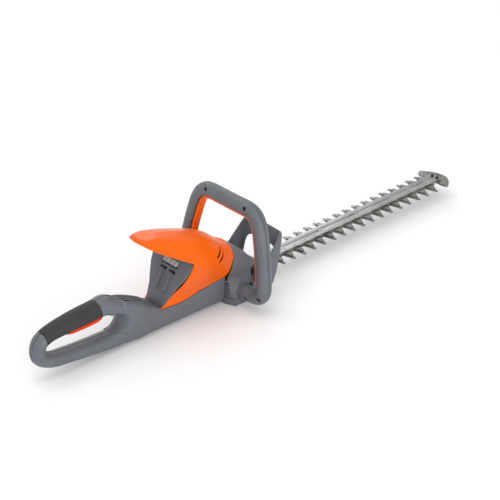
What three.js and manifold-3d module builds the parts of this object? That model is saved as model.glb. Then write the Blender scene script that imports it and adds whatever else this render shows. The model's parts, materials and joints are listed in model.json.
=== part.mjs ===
// Cordless hedge trimmer with a rear D-handle, a front loop handle, a battery bay
// under a long hood, and a double-sided reciprocating cutter.
// Millimetres. +X runs to the blade tip, +Y is the user's left, +Z is up.
// z = 0 is the plane that the trimmer rests on, and x = 0 is the middle of the gearbox foot.

import * as THREE from 'three';
import { mergeVertices } from 'three/addons/utils/BufferGeometryUtils.js';
import Module from 'manifold-3d';

const wasm = await Module();
wasm.setup();

// ---------------------------------------------------------------- driving dimensions

const clearance = 0.3;        // gap left between pieces that touch
const runningGap = 0.6;       // gap left round pieces that move
const wall = 2.8;             // casing wall
const trim = 0.03;            // faces flatter than this are merged

const toothPitch = 25;        // from one finger to the next
const teethPerSide = 17;
const fingerReach = 34.5;     // blade centre line to a finger's end
const cutterReach = 27;       // blade centre line to a ground tooth's end
const spineHalfWidth = 13;    // solid middle of each blade
const bladeThickness = 2.3;
const crankThrow = 6.25;      // half of each blade's stroke
const combHeight = 31;        // top of the lower blade above the ground
const guideBarHeight = 3.4;
const guideBarHalfWidth = 12.5;
const boltRadius = 3;
const boltCount = 5;
const firstBolt = 112;
const rightFirst = 87.4;      // first tooth on each side
const leftFirst = 150;

const crankX = -16;
const gearModule = 1.5;
const crankTeeth = 28;
const idlerTeeth = 18;
const pinionTeeth = 10;
const gearThickness = 8;
const gearFloor = 45;         // underside of the gears
const eccentricRadius = 9;

const jointX = -44;           // where the motor casing meets the gearbox
const gearboxFront = 8;
const boxHalf = 45;            // half width of the gearbox at its foot
const noseFront = 42;
const noseHalfWidth = 27;
const noseTop = 47;
const baseThickness = 12;
const rimLean = 0.37;         // forward lean of the hood's front rim, per unit of height
const rimBendHeight = 53;

const loopTube = 13;          // radius of the front handle's tube
const loopHalfWidth = 100;    // centre line, at the foot of the legs
const loopShoulder = 76;      // centre line, at the top of the legs
const loopHeight = 175.5;     // centre line of the top bar
const loopTopX = -8;
const loopFootX = -22;
const loopFootHeight = 27.5;
const loopBend = 25;
const loopTopBend = 30;
const bushingLength = 9.4;
const bailHalfWidth = 7.4;
const bailProud = 2;
const bailTravel = 3;

const windowFront = -243;     // front end of the rear handle's finger opening
const handleReach = 169;      // from there to the rear end of the trimmer
const gripHalfWidth = 17;
const sleeveThickness = 2.2;
const triggerHalfWidth = 6.5;

const motorRadius = 22;
const motorHeight = 52;

const screwRadius = 1.7;
const screwHeadRadius = 3.2;
const screwHeadHeight = 2.4;

// ---------------------------------------------------------------- solids and joins

function solid(geometry) {
  const bare = geometry.clone();
  bare.deleteAttribute('normal');
  bare.deleteAttribute('uv');
  const merged = mergeVertices(bare, 1e-4);
  const mesh = new wasm.Mesh({
    numProp: 3,
    vertProperties: Float32Array.from(merged.attributes.position.array),
    triVerts: Uint32Array.from(merged.index.array),
  });
  return new wasm.Manifold(mesh);
}

function geometryOf(shape) {
  const mesh = shape.getMesh();
  const geometry = new THREE.BufferGeometry();
  geometry.setAttribute('position', new THREE.BufferAttribute(mesh.vertProperties, 3));
  geometry.setIndex(new THREE.BufferAttribute(mesh.triVerts, 1));
  geometry.computeVertexNormals();
  return geometry;
}

function join(...shapes) {
  return shapes.reduce((all, next) => all.add(next));
}

function cut(shape, ...tools) {
  return tools.reduce((rest, tool) => rest.subtract(tool), shape);
}

function box(low, high) {
  const size = high.map((value, axis) => value - low[axis]);
  const geometry = new THREE.BoxGeometry(...size);
  geometry.translate(...low.map((value, axis) => value + size[axis] / 2));
  return solid(geometry);
}

const turns = {
  x: (geometry) => geometry.rotateZ(-Math.PI / 2),
  y: (geometry) => geometry,
  z: (geometry) => geometry.rotateX(Math.PI / 2),
};

function rod(axis, radius, start, length, segments = 20) {
  const geometry = new THREE.CylinderGeometry(radius, radius, length, segments);
  geometry.translate(0, length / 2, 0);
  turns[axis](geometry);
  geometry.translate(...start);
  return solid(geometry);
}

// A turned piece: pairs of radius and height, turned about the axis and set at a place.
function turned(axis, pairs, at, segments = 20) {
  const profile = pairs.map(([radius, height]) => new THREE.Vector2(radius, height));
  const geometry = new THREE.LatheGeometry(profile, segments);
  turns[axis](geometry);
  geometry.translate(...at);
  return solid(geometry);
}

function outline(points) {
  return new THREE.Shape(points.map(([a, b]) => new THREE.Vector2(a, b)));
}

function smooth(points, count) {
  const curve = new THREE.CatmullRomCurve3(points.map(([a, b]) => new THREE.Vector3(a, b, 0)));
  return curve.getPoints(count).map((point) => [point.x, point.y]);
}

// A plate seen from above: an outline in x and y, standing from one height to another.
function plate(shape, low, high) {
  const geometry = new THREE.ExtrudeGeometry(shape, {
    depth: high - low, bevelEnabled: false, curveSegments: 10,
  });
  geometry.translate(0, 0, low);
  return solid(geometry);
}

// A slab seen from the side: an outline in x and z, running across from one y to another.
function slab(points, right, left) {
  const geometry = new THREE.ExtrudeGeometry(outline(points), {
    depth: left - right, bevelEnabled: false,
  });
  geometry.rotateX(Math.PI / 2);
  geometry.translate(0, left, 0);
  return solid(geometry);
}

// A closed skin round a line: place(t, angle, radius) puts each point of a unit cylinder.
function loft(ringCount, stepCount, place) {
  const geometry = new THREE.CylinderGeometry(1, 1, 1, ringCount, stepCount);
  const position = geometry.attributes.position;
  for (let i = 0; i < position.count; i += 1) {
    const angle = Math.atan2(position.getZ(i), position.getX(i));
    const radius = Math.hypot(position.getZ(i), position.getX(i));
    const point = place(position.getY(i) + 0.5, angle, radius);
    position.setXYZ(i, point.x, point.y, point.z);
  }
  return solid(geometry);
}

// Half outlines, each from the top centre to the bottom centre, joined along x and mirrored.
function bodyLoft(stations, ringCount, stepCount, inset = 0) {
  const rails = stations[0].half.map((_, row) => new THREE.CatmullRomCurve3(
    stations.map(({ x, half }) => new THREE.Vector3(x, half[row][0], half[row][1])),
    false, 'centripetal',
  ));
  const slices = new Map();
  const sliceAt = (t) => {
    const key = t.toFixed(5);
    if (!slices.has(key)) {
      const points = rails.map((rail) => rail.getPoint(t));
      const x = points[0].x;
      const flat = points.map((point) => new THREE.Vector3(0, Math.max(point.y, 0), point.z));
      const curve = new THREE.CatmullRomCurve3(flat, false, 'centripetal');
      slices.set(key, { x, curve, widest: Math.max(...flat.map((point) => point.y)) });
    }
    return slices.get(key);
  };
  return loft(ringCount, stepCount, (t, angle, radius) => {
    const { x, curve, widest } = sliceAt(t);
    const top = curve.getPoint(0).z;
    const bottom = curve.getPoint(1).z;
    const middle = (top + bottom) / 2;
    const point = curve.getPoint(Math.abs(angle) / Math.PI);
    const thinner = Math.max(1 - inset / Math.max(widest, 1e-3), 0.02);
    const lower = 1 - inset / ((top - bottom) / 2);
    const side = Math.sign(angle) * point.y * thinner * radius;
    const end = inset * (1 - 2 * t);
    return new THREE.Vector3(x + end, side, middle + (point.z - middle) * lower * radius);
  });
}

// A tube in the plane of a line: each station gives its centre, half width and half depth.
function sweep(stations, ringCount, stepCount, inset = 0) {
  const line = new THREE.CatmullRomCurve3(
    stations.map(({ x, z }) => new THREE.Vector3(x, 0, z)), false, 'centripetal',
  );
  const sizes = new THREE.CatmullRomCurve3(
    stations.map(({ width, depth }) => new THREE.Vector3(width, depth, 0)), false, 'centripetal',
  );
  return loft(ringCount, stepCount, (t, angle, radius) => {
    const centre = line.getPoint(t);
    const along = line.getTangent(t);
    const { x: width, y: depth } = sizes.getPoint(t);
    const side = (width - inset) * Math.sin(angle) * radius;
    const up = (depth - inset) * Math.cos(angle) * radius;
    return new THREE.Vector3(centre.x - along.z * up, side, centre.z + along.x * up);
  });
}

// The largest piece of a shape, without the crumbs that a cut can leave.
function mainPiece(shape) {
  return shape.decompose().reduce((best, next) => (next.volume() > best.volume() ? next : best));
}

function mirrored(shape) {
  return shape.mirror([0, 1, 0]);
}

// ---------------------------------------------------------------- the assembly

const group = new THREE.Group();

const finishes = {
  casing: { color: 0x5d6066, roughness: 0.55, metalness: 0 },
  dark: { color: 0x2b2b2d, roughness: 0.75, metalness: 0 },
  orange: { color: 0xf96b07, roughness: 0.3, metalness: 0 },
  trigger: { color: 0xe8420a, roughness: 0.4, metalness: 0 },
  steel: { color: 0xb9bbb8, roughness: 0.35, metalness: 1 },
  blade: { color: 0x8d8d86, roughness: 0.4, metalness: 1 },
  zinc: { color: 0x8a8c8e, roughness: 0.45, metalness: 1 },
  board: { color: 0x1d5a36, roughness: 0.6, metalness: 0 },
  terminal: { color: 0xb9bbb8, roughness: 0.5, metalness: 0 },
  fixing: { color: 0x303032, roughness: 0.45, metalness: 1 },
  brass: { color: 0xc79a45, roughness: 0.35, metalness: 1 },
};

function add(name, rough, finish) {
  const shape = rough.simplify(trim);
  const mesh = new THREE.Mesh(geometryOf(shape), new THREE.MeshStandardMaterial(finishes[finish]));
  mesh.name = name;
  group.add(mesh);
}

// ---------------------------------------------------------------- outlines of the body

// The rear end of the trimmer, and the finger opening's handle round it.
const rearEnd = windowFront - handleReach;
const gripRear = rearEnd + 28;
const gripFront = windowFront - 46;
const sleeveRear = rearEnd + 24;
const sleeveFront = windowFront - 48;

const handleLine = [
  { x: windowFront + 35, z: 30, width: 21, depth: 22 },
  { x: windowFront - 5, z: 17, width: 19, depth: 16 },
  { x: windowFront - 50, z: 18.5, width: gripHalfWidth + 1, depth: 14 },
  { x: windowFront - 105, z: 24, width: gripHalfWidth, depth: 12.4 },
  { x: rearEnd + 33, z: 29, width: gripHalfWidth - 1, depth: 12.4 },
  { x: rearEnd + 13.5, z: 41, width: gripHalfWidth - 1.5, depth: 12 },
  { x: rearEnd + 12, z: 55, width: gripHalfWidth - 1.8, depth: 11.2 },
  { x: rearEnd + 17.5, z: 67, width: gripHalfWidth - 1.8, depth: 11 },
  { x: rearEnd + 31, z: 74.2, width: gripHalfWidth - 1.8, depth: 12 },
  { x: rearEnd + 72, z: 79.5, width: gripHalfWidth, depth: 14.5 },
  { x: gripFront + 2, z: 82, width: gripHalfWidth + 1, depth: 15.5 },
  { x: windowFront - 30, z: 82.5, width: gripHalfWidth + 2, depth: 16.6 },
  { x: windowFront, z: 66, width: gripHalfWidth + 4, depth: 14 },
  { x: windowFront + 30, z: 48, width: gripHalfWidth + 4, depth: 14 },
];

// Lower casing, from the finger opening to the gearbox. The upper deck falls towards the bay.
const casingStations = [
  {
    x: windowFront - 2,
    half: [
      [0, 84], [13, 84], [19.5, 77], [20.5, 46], [19, 20], [14, 6], [8, 1.6], [0, 1.6],
    ],
  },
  {
    x: windowFront + 24,
    half: [
      [0, 71.5], [17, 71.5], [23, 65], [24, 43], [22, 18], [16, 4], [9, 0.8], [0, 0.8],
    ],
  },
  {
    x: windowFront + 46,
    half: [
      [0, 59.5], [17, 59.5], [22.5, 54], [23.5, 37], [22, 16], [16, 4], [9, 0.8], [0, 0.8],
    ],
  },
  {
    x: windowFront + 67,
    half: [
      [0, 47.5], [14, 47.5], [20.5, 46], [23, 32], [22, 15], [16, 4], [9, 0.8], [0, 0.8],
    ],
  },
  {
    x: windowFront + 95,
    half: [
      [0, 52], [14, 52], [24, 49], [25, 32], [23, 15], [17, 4], [9, 0.8], [0, 0.8],
    ],
  },
  {
    x: windowFront + 150,
    half: [
      [0, 58], [16, 58], [27, 53], [27, 34], [25, 15], [18, 4], [9, 0.8], [0, 0.8],
    ],
  },
  { x: jointX + 6, half: [[0, 60], [16, 60], [29, 54], [27.5, 34], [26, 15], [20, 3], [9, 0.8], [0, 0.8]] },
];

// Hood, from the beak to the front rim.
const hoodStations = [
  { x: -206, half: [[0, 168], [1, 167.5], [1.6, 166.5], [1.6, 156], [1, 110], [1, 60], [1, 44], [0, 30]] },
  { x: -204, half: [[0, 171], [8, 170], [14, 165], [15, 155], [10, 110], [8, 60], [8, 44], [0, 30]] },
  { x: -197, half: [[0, 174], [18, 171], [30, 161], [30, 149], [20, 110], [14, 60], [13, 44], [0, 30]] },
  {
    x: -181,
    half: [[0, 175.5], [24, 170], [42, 151], [42, 138], [30, 100], [21.5, 60], [20.5, 43], [0, 28]],
  },
  { x: -148, half: [[0, 167.5], [28, 160], [48, 131], [46.5, 112], [38, 82], [26, 55], [24.4, 42], [0, 28]] },
  { x: -113, half: [[0, 155.5], [28, 148], [49, 117], [46, 92], [34, 65], [27.4, 52], [26, 42], [0, 30]] },
  { x: -67, half: [[0, 137], [26, 130], [44.5, 104], [42, 84], [34, 64], [29.4, 53], [28, 44], [0, 34]] },
  { x: -44, half: [[0, 118.5], [23, 113], [38, 95], [38, 78], [34.5, 62], [30, 54], [29, 46], [0, 36]] },
  { x: -16, half: [[0, 103], [20, 99], [34, 86], [36, 74], [34.5, 62], [31, 54], [30, 46], [0, 36]] },
];

// Side view of the bay's mouth: from the beak's corner down the tusk to its tip.
const mouthCorner = [-127, 119];
const beakSlope = 0.63;
const tuskTip = [-178, 43];
const mouthCurve = smooth([mouthCorner, [-140, 88.5], [-158, 62], [-166, 53], tuskTip], 12);

// Side view of the seam between the hood and the lower casing.
const seamCurve = smooth([tuskTip, [-140, 41.5], [-95, 49], [-60, 53], [jointX, 54]], 10);

const handleSteps = Math.round(handleReach / 6.25);

function casingTube(inset, rings = 14, steps = handleSteps) {
  return join(
    sweep(handleLine, rings, steps, inset),
    bodyLoft(casingStations, rings, Math.round(steps / 3), inset),
  );
}

function belowSeam(drop) {
  const far = jointX + 30;
  const top = seamCurve.map(([x, z]) => [x, z - drop]);
  const rearTop = [[tuskTip[0] - 0.5, 130], [-500, 130], [-500, -20]];
  return slab([...top, [far, seamCurve.at(-1)[1] - drop], [far, -20], ...rearTop.reverse()], -70, 70);
}

// The seam face between the motor casing and the gearbox leans forward with height.
function behindJoint(gap) {
  const bend = [jointX - gap, rimBendHeight];
  const top = [jointX - gap + rimLean * 140, rimBendHeight + 140];
  return slab([[-500, -20], [jointX - gap, -20], bend, top, [-500, rimBendHeight + 140]], -90, 90);
}

// ---------------------------------------------------------------- lower casing and rear handle

const gripWrap = slab([
  [sleeveRear - 0.4, 60], [sleeveFront + 6, 60], [sleeveFront + 0.4, 112], [sleeveRear - 8, 112],
], -40, 40);
const deckFloor = [[-19, 90.5], [-2, 82], [24, 69.5], [46, 57.5], [58, 51]];
const deckSlots = [-9, 0, 9].map((y) => slab([
  [-25, 98], ...deckFloor, [66, 62], [0, 112],
].map(([x, z]) => [windowFront + x, z]), y - 3.4, y + 3.4));
const triggerGap = triggerHalfWidth + 0.7;
const triggerSlot = box([gripRear + 30, -triggerGap, 56], [gripFront + 11, triggerGap, 80]);
const triggerPinX = gripRear + 36;
const triggerPinZ = 72;

const casingOuter = casingTube(0);
const casingCore = join(
  sweep(handleLine, 8, 15, wall + sleeveThickness),
  bodyLoft(casingStations, 8, 5, wall),
);
const casingSkin = cut(casingOuter, casingCore, ...deckSlots, triggerSlot);
const sleeveSeat = casingOuter.subtract(casingTube(sleeveThickness + clearance)).intersect(gripWrap);
const triggerPost = rod('y', 4, [triggerPinX, -16, triggerPinZ], 32, 16).subtract(
  box([triggerPinX - 9, -triggerGap, 50], [triggerPinX + 9, triggerGap, 90]),
);
const switchShelf = box([gripFront - 34, -20, 79.5], [gripFront - 6, 20, 82])
  .subtract(box([gripFront - 24, -3, 79], [gripFront - 16, 3, 83]));
const motorRibs = join(
  box([-104, -26, 3], [-101, 26, 40]),
  box([-60, -25, 2], [-57, 25, 40.6]),
);
const panelRib = slab([[-174, 30], [-168, 30], [-163, 45.4], [-169, 45.4]], -22, 22);
const casingInnards = join(switchShelf, motorRibs, panelRib, triggerPost)
  .intersect(casingTube(sleeveThickness + clearance + 0.1));
const triggerBore = rod('y', 1.6 + clearance / 2, [triggerPinX, -10, triggerPinZ], 20, 12);
const lowerCasing = join(casingSkin.subtract(sleeveSeat), casingInnards)
  .intersect(join(belowSeam(clearance), slab([
    [-500, -20], [tuskTip[0] - 1, -20], [tuskTip[0] - 1, 140], [-500, 140],
  ], -70, 70)))
  .intersect(behindJoint(clearance))
  .subtract(triggerBore);
const leftSide = box([-500, clearance / 2, -30], [100, 90, 220]);
const rightSide = box([-500, -90, -30], [100, -clearance / 2, 220]);
add('casing_left', mainPiece(lowerCasing.intersect(leftSide)), 'casing');
add('casing_right', mainPiece(lowerCasing.intersect(rightSide)), 'casing');

const sleeve = casingOuter
  .subtract(casingTube(sleeveThickness))
  .intersect(slab([
    [sleeveRear, 60], [sleeveFront + 5.6, 60], [sleeveFront, 112], [sleeveRear - 7.6, 112],
  ], -40, 40))
  .subtract(triggerSlot);
add('grip_sleeve', sleeve, 'dark');

// ---------------------------------------------------------------- rear trigger and its switch

const triggerBody = slab(smooth([
  [triggerPinX - 4, 66], [triggerPinX + 2, 62], [triggerPinX + 28, 59.5], [gripFront + 3, 61],
  [gripFront + 9, 64],
], 10).concat([[gripFront + 9, 73], [triggerPinX + 20, 73], [triggerPinX, 75], [triggerPinX - 4.5, 72]]),
-triggerHalfWidth, triggerHalfWidth);
add('rear_trigger', triggerBody.subtract(
  rod('y', 1.6 + clearance, [triggerPinX, -10, triggerPinZ], 20, 12),
), 'trigger');
add('trigger_pin', rod('y', 1.6, [triggerPinX, -9.6, triggerPinZ], 19.2, 12), 'steel');
add('rear_microswitch', join(
  box([gripFront - 30, -4, 82.3], [gripFront - 10, 4, 87.6]),
  box([gripFront - 22, -1.5, 79], [gripFront - 18, 1.5, 84]),
).subtract(box([gripFront - 23, -2, 78], [gripFront - 17, 2, 79.2])), 'dark');

// ---------------------------------------------------------------- hood

const hoodOuter = bodyLoft(hoodStations, 18, 14);
const hoodCore = bodyLoft(hoodStations, 12, 9, wall);
const beakRim = (x) => mouthCorner[1] + beakSlope * (mouthCorner[0] - x);
const mouthTool = slab([
  ...mouthCurve, [tuskTip[0] - 40, tuskTip[1]], [-240, beakRim(-240)],
], -70, 70);
const aboveSeam = slab([
  ...seamCurve, [60, seamCurve.at(-1)[1]], [60, 230], [-240, 230], [-240, tuskTip[1]],
], -70, 70);
const frontRim = slab([
  [-260, -20], [jointX - clearance, -20], [jointX - clearance, rimBendHeight],
  [jointX - clearance + rimLean * 120, rimBendHeight + 120], [-260, rimBendHeight + 120],
], -90, 90);
const ventSlots = join(...[[0, 0], [2, -9.5]].map(([ahead, drop]) => slab(
  smooth([[-76, 106], [-65, 109], [-54.5, 115]], 6)
    .concat(smooth([[-54.5, 118.2], [-66, 112.2], [-76, 107.6]], 6))
    .map(([x, z]) => [x + ahead, z + drop]),
  -60, -20,
)));
const hoodShell = cut(hoodOuter, hoodCore, mouthTool, ventSlots, mirrored(ventSlots))
  .intersect(aboveSeam)
  .intersect(frontRim);
add('hood', hoodShell, 'orange');

// ---------------------------------------------------------------- battery bay

const bayCore = bodyLoft(hoodStations, 12, 9, wall + clearance);
const panelTop = [-129, 118.5];
const panelFoot = [-172.5, 45.8];
const panelSlope = (panelTop[1] - panelFoot[1]) / (panelTop[0] - panelFoot[0]);
const onPanel = (z, out = 0) => [panelFoot[0] + (z - panelFoot[1]) / panelSlope + out, z];
const panelSlab = slab([onPanel(45.8), onPanel(130), onPanel(130, 3.4), onPanel(45.8, 3.4)], -60, 60);
const bayRails = join(...[-9, 9].map((y) => slab(
  [onPanel(62, -0), onPanel(66, -3.4), onPanel(95, -3.4), onPanel(98, 0.5), onPanel(62, 0.5)], y - 2, y + 2,
)));
const railPockets = join(...[-9, 9].map((y) => slab(
  [onPanel(93.5, -2), onPanel(97.5, -2), onPanel(97.5, 5), onPanel(93.5, 5)], y - 6.5, y + 6.5,
)));
const terminalWindow = slab(
  [onPanel(101, -3), onPanel(112, -3), onPanel(112, 6), onPanel(101, 6)], -17, 17,
);
const boardPosts = join(...[[64, 20], [64, -20], [90, 20], [90, -20]].map(([z, y]) => slab(
  [onPanel(z, 3), onPanel(z + 4, 3), onPanel(z + 4, 13.7), onPanel(z, 13.7)], y - 2, y + 2,
)));
const bayPanel = join(panelSlab.intersect(bayCore), bayRails, boardPosts)
  .subtract(railPockets)
  .subtract(terminalWindow);
add('bay_panel', bayPanel, 'casing');
add('controller_board', slab(
  [onPanel(61, 14), onPanel(97, 14), onPanel(97, 15.6), onPanel(61, 15.6)], -23, 23,
), 'board');

const ceilingSlab = slab([
  [-230, beakRim(-230) + 3], [-122, beakRim(-122) + 3],
  [-122, beakRim(-122) + 5.6], [-230, beakRim(-230) + 5.6],
], -70, 70);
const bayBehindPanel = slab([
  onPanel(20, -clearance), onPanel(200, -clearance), [-260, 200], [-260, 20],
], -80, 80);

const latchRun = (x, drop) => [x, beakRim(x) + 2.7 - drop];
add('latch_plate', slab([
  latchRun(-176, 0), latchRun(-146, 0), latchRun(-146, 5), latchRun(-170, 5), latchRun(-176, 3),
], -15, 15), 'zinc');
const beakBumper = slab([
  latchRun(-197, -1), latchRun(-189, -1), latchRun(-189, 4.2), latchRun(-197, 4.2),
], -6, 6);
add('bay_ceiling', join(ceilingSlab.intersect(bayCore).intersect(bayBehindPanel), beakBumper), 'dark');

const terminalBlock = slab(
  [onPanel(104.8, -2), onPanel(111.7, -2), onPanel(111.7, 12), onPanel(104.8, 12)], -16.7, 16.7,
).subtract(join(...[-10, 0, 10].map((y) => slab(
  [onPanel(106.3, -3), onPanel(110.3, -3), onPanel(110.3, 9), onPanel(106.3, 9)], y - 2.2, y + 2.2,
))));
add('terminal_block', terminalBlock, 'terminal');
['contact_negative', 'contact_data', 'contact_positive'].forEach((name, slot) => {
  const y = (slot - 1) * 10;
  add(name, slab(
    [onPanel(106.7, -1), onPanel(109.9, -1), onPanel(109.9, 8.6), onPanel(106.7, 8.6)], y - 0.7, y + 0.7,
  ), 'brass');
});

// ---------------------------------------------------------------- gear train and motor

const crankRadius = gearModule * crankTeeth / 2;
const idlerRadius = gearModule * idlerTeeth / 2;
const pinionRadius = gearModule * pinionTeeth / 2;
const idlerX = crankX - crankRadius - idlerRadius;
const pinionX = idlerX - idlerRadius - pinionRadius;
const backlash = 0.5;
const pressureAngle = Math.PI / 9;

// Involute teeth round a wheel, with a tooth's middle on the +X side at the given turn.
function gear(teeth, thickness, floor, at, turn) {
  const pitchRadius = gearModule * teeth / 2;
  const base = pitchRadius * Math.cos(pressureAngle);
  const outer = pitchRadius + gearModule * 0.85;
  const root = pitchRadius - gearModule * 1.15;
  const roll = (radius) => {
    const spread = Math.sqrt(Math.max((radius / base) ** 2 - 1, 0));
    return spread - Math.atan(spread);
  };
  const halfTooth = Math.PI / teeth / 2 - backlash / 2 / pitchRadius;
  const points = [];
  for (let tooth = 0; tooth < teeth; tooth += 1) {
    const middle = (2 * Math.PI * tooth) / teeth + turn;
    const flank = [pitchRadius, outer].map((radius) => [
      radius, halfTooth + roll(pitchRadius) - roll(radius),
    ]);
    const side = [[root, halfTooth + roll(pitchRadius) + 0.01], ...flank];
    side.forEach(([radius, half]) => {
      points.push([radius * Math.cos(middle - half), radius * Math.sin(middle - half)]);
    });
    [...side].reverse().forEach(([radius, half]) => {
      points.push([radius * Math.cos(middle + half), radius * Math.sin(middle + half)]);
    });
  }
  return plate(outline(points.map(([x, y]) => [x + at, y])), floor, floor + thickness);
}

const shaftRadius = 5;
const upperBladeFloor = combHeight + clearance;
const upperBladeTop = upperBladeFloor + bladeThickness;
const lowerBladeFloor = combHeight - bladeThickness;
const bladeSplit = (combHeight + upperBladeFloor) / 2;
const plateFloor = gearFloor - 4;
const plateTop = plateFloor + 2.5;

const crankWheel = gear(crankTeeth, gearThickness, gearFloor, crankX, 0);
const crank = join(
  crankWheel,
  rod('z', shaftRadius, [crankX, 0, 16.5], 42, 20),
  rod('z', eccentricRadius, [crankX + crankThrow, 0, bladeSplit], upperBladeTop - bladeSplit, 18),
  rod('z', eccentricRadius, [crankX - crankThrow, 0, lowerBladeFloor], bladeSplit - lowerBladeFloor, 18),
);
add('crank_gear', crank, 'zinc');

const idlerBore = 3;
const idlerTurn = Math.PI / idlerTeeth;
const idler = gear(idlerTeeth, gearThickness - 1, gearFloor + 0.5, idlerX, idlerTurn)
  .subtract(rod('z', idlerBore + clearance, [idlerX, 0, gearFloor], gearThickness, 16));
add('idler_gear', idler, 'zinc');
add('idler_pin', turned('z', [
  [0, plateTop + 0.2], [5, plateTop + 0.2], [5, gearFloor + 0.2], [idlerBore, gearFloor + 0.2],
  [idlerBore, gearFloor + gearThickness + 1], [0, gearFloor + gearThickness + 1],
], [idlerX, 0, 0], 16), 'steel');

const motorBaseZ = gearFloor + gearThickness + 3.5;
const canFloor = motorBaseZ + 2.5 + clearance;
const pinionTurn = 0;
const pinion = join(
  gear(pinionTeeth, gearThickness - 1, gearFloor + 0.5, pinionX, pinionTurn),
  rod('z', 2.5, [pinionX, 0, gearFloor + 0.5], canFloor + motorHeight - gearFloor - 14, 16),
);
add('motor_pinion', pinion, 'steel');

const canTop = canFloor + motorHeight - 12;
add('motor_can', turned('z', [
  [2.5 + runningGap, canFloor], [motorRadius - 1.5, canFloor], [motorRadius, canFloor + 1.5],
  [motorRadius, canTop - 3], [motorRadius - 3, canTop], [2.5 + runningGap, canTop],
  [2.5 + runningGap, canTop - 3], [motorRadius - 3, canTop - 3], [motorRadius - 3, canFloor + 3],
  [2.5 + runningGap, canFloor + 3], [2.5 + runningGap, canFloor],
], [pinionX, 0, 0], 20), 'zinc');
const fanFloor = canTop + 2;
const fanBlades = Array.from({ length: 7 }, (_, index) => {
  const blade = box([2, -0.8, fanFloor], [17, 0.8, fanFloor + 6]);
  return blade.rotate([0, 0, (index * 360) / 7]).translate([pinionX, 0, 0]);
});
add('motor_fan', join(
  turned('z', [
    [2.5 + clearance / 2, fanFloor], [18, fanFloor], [18, fanFloor + 1.2],
    [5, fanFloor + 1.2], [5, fanFloor + 6], [2.5 + clearance / 2, fanFloor + 6],
    [2.5 + clearance / 2, fanFloor],
  ], [pinionX, 0, 0], 14),
  ...fanBlades,
).subtract(rod('z', 2.5 + clearance / 2, [pinionX, 0, fanFloor - 1], 8, 16)), 'dark');

// ---------------------------------------------------------------- gearbox

const gearboxStations = [
  {
    x: jointX - 6,
    half: [
      [0, 103], [20, 100], [35, 88], [37.5, 74], [36, 60], [34, 50], [38, 38], [boxHalf - 5, 24],
      [34, 16], [0, 15],
    ],
  },
  {
    x: -30,
    half: [
      [0, 102], [21, 99], [36, 88], [38.5, 74], [37.5, 60], [36, 50], [boxHalf - 3, 38],
      [boxHalf, 26], [boxHalf - 5, 16], [0, 15],
    ],
  },
  {
    x: -12,
    half: [
      [0, 94], [24, 92], [38, 83], [41, 72], [41, 60], [40, 50], [boxHalf - 2, 38], [boxHalf, 26],
      [boxHalf - 5, 16], [0, 15],
    ],
  },
  {
    x: 0,
    half: [
      [0, 86], [24, 85], [38, 78], [41, 70], [41.5, 60], [41, 50], [boxHalf - 2, 38],
      [boxHalf, 26], [boxHalf - 5, 16], [0, 15],
    ],
  },
  {
    x: gearboxFront,
    half: [
      [0, 76], [20, 75], [32, 69], [34, 62], [34, 54], [34, 46], [35, 38], [36, 26], [32, 16],
      [0, 15],
    ],
  },
];
const jointFace = (gap) => slab([
  [jointX + gap, -20], [200, -20], [200, 200], [jointX + gap + rimLean * 147, 200],
  [jointX + gap, rimBendHeight],
], -120, 120);
const baseTop = baseThickness + clearance;
const footPlan = outline([
  [jointX, 26], [jointX, -26], [-36, -boxHalf], [4, -boxHalf], [14, -30],
  [noseFront - 4, -noseHalfWidth], [noseFront, -noseHalfWidth + 4], [noseFront, noseHalfWidth - 4],
  [noseFront - 4, noseHalfWidth], [14, 30], [4, boxHalf], [-36, boxHalf],
]);
const gearboxBlock = join(
  bodyLoft(gearboxStations, 18, 8),
  plate(footPlan, baseTop, 31),
  plate(outline([
    [-10, -24], [noseFront - 6, -22], [noseFront, -18], [noseFront, 18], [noseFront - 6, 22], [-10, 24],
  ]), 30, noseTop),
);
const gearRoom = join(
  bodyLoft(gearboxStations, 12, 5, 3).intersect(box([-60, -60, plateFloor - 0.3], [60, 60, 120])),
  box([jointX - 2, -23, 0], [24, 23, plateFloor]),
  rod('z', crankRadius + gearModule + runningGap, [crankX, 0, plateFloor], 16, 20),
);
const bladeTunnel = box(
  [18, -spineHalfWidth - 1, lowerBladeFloor - 1.2],
  [60, spineHalfWidth + 1, upperBladeTop + guideBarHeight + 2 * clearance],
);
const barScrewX = 32;
const barScrewHoles = rod('z', screwRadius + 0.2, [barScrewX, 0, 30], 20, 12);
const bushingBore = (side) => rod(
  'y', 4 + clearance, [loopFootX, side > 0 ? boxHalf - 9 : -boxHalf - 15, loopFootHeight], 24, 16,
);
const bushingBoss = join(...[1, -1].map((side) => rod(
  'y', 13, [loopFootX, side > 0 ? 30 : -boxHalf, loopFootHeight], boxHalf - 30, 24,
))).intersect(box([-60, -60, baseTop], [60, 60, 60]));
const baseScrewSpots = [
  [-30, boxHalf - 12], [-30, 12 - boxHalf], [30, 19.5], [30, -19.5],
];
const baseScrewHoles = join(...baseScrewSpots.map(([x, y]) => rod(
  'z', screwRadius + 0.2, [x, y, -1], 24, 12,
)));
const guardScrewX = -2;
const guardScrewZ = 22;
const guardHoles = join(...[1, -1].map((side) => rod(
  'y', screwRadius + 0.2, [guardScrewX, side > 0 ? boxHalf - 9 : -boxHalf - 15, guardScrewZ], 24, 12,
)));
const gearbox = join(gearboxBlock, bushingBoss)
  .intersect(jointFace(clearance / 2))
  .subtract(gearRoom)
  .subtract(bladeTunnel)
  .subtract(join(bushingBore(1), bushingBore(-1)))
  .subtract(baseScrewHoles)
  .subtract(barScrewHoles);
add('gearbox_case', gearbox.subtract(guardHoles), 'casing');

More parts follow.
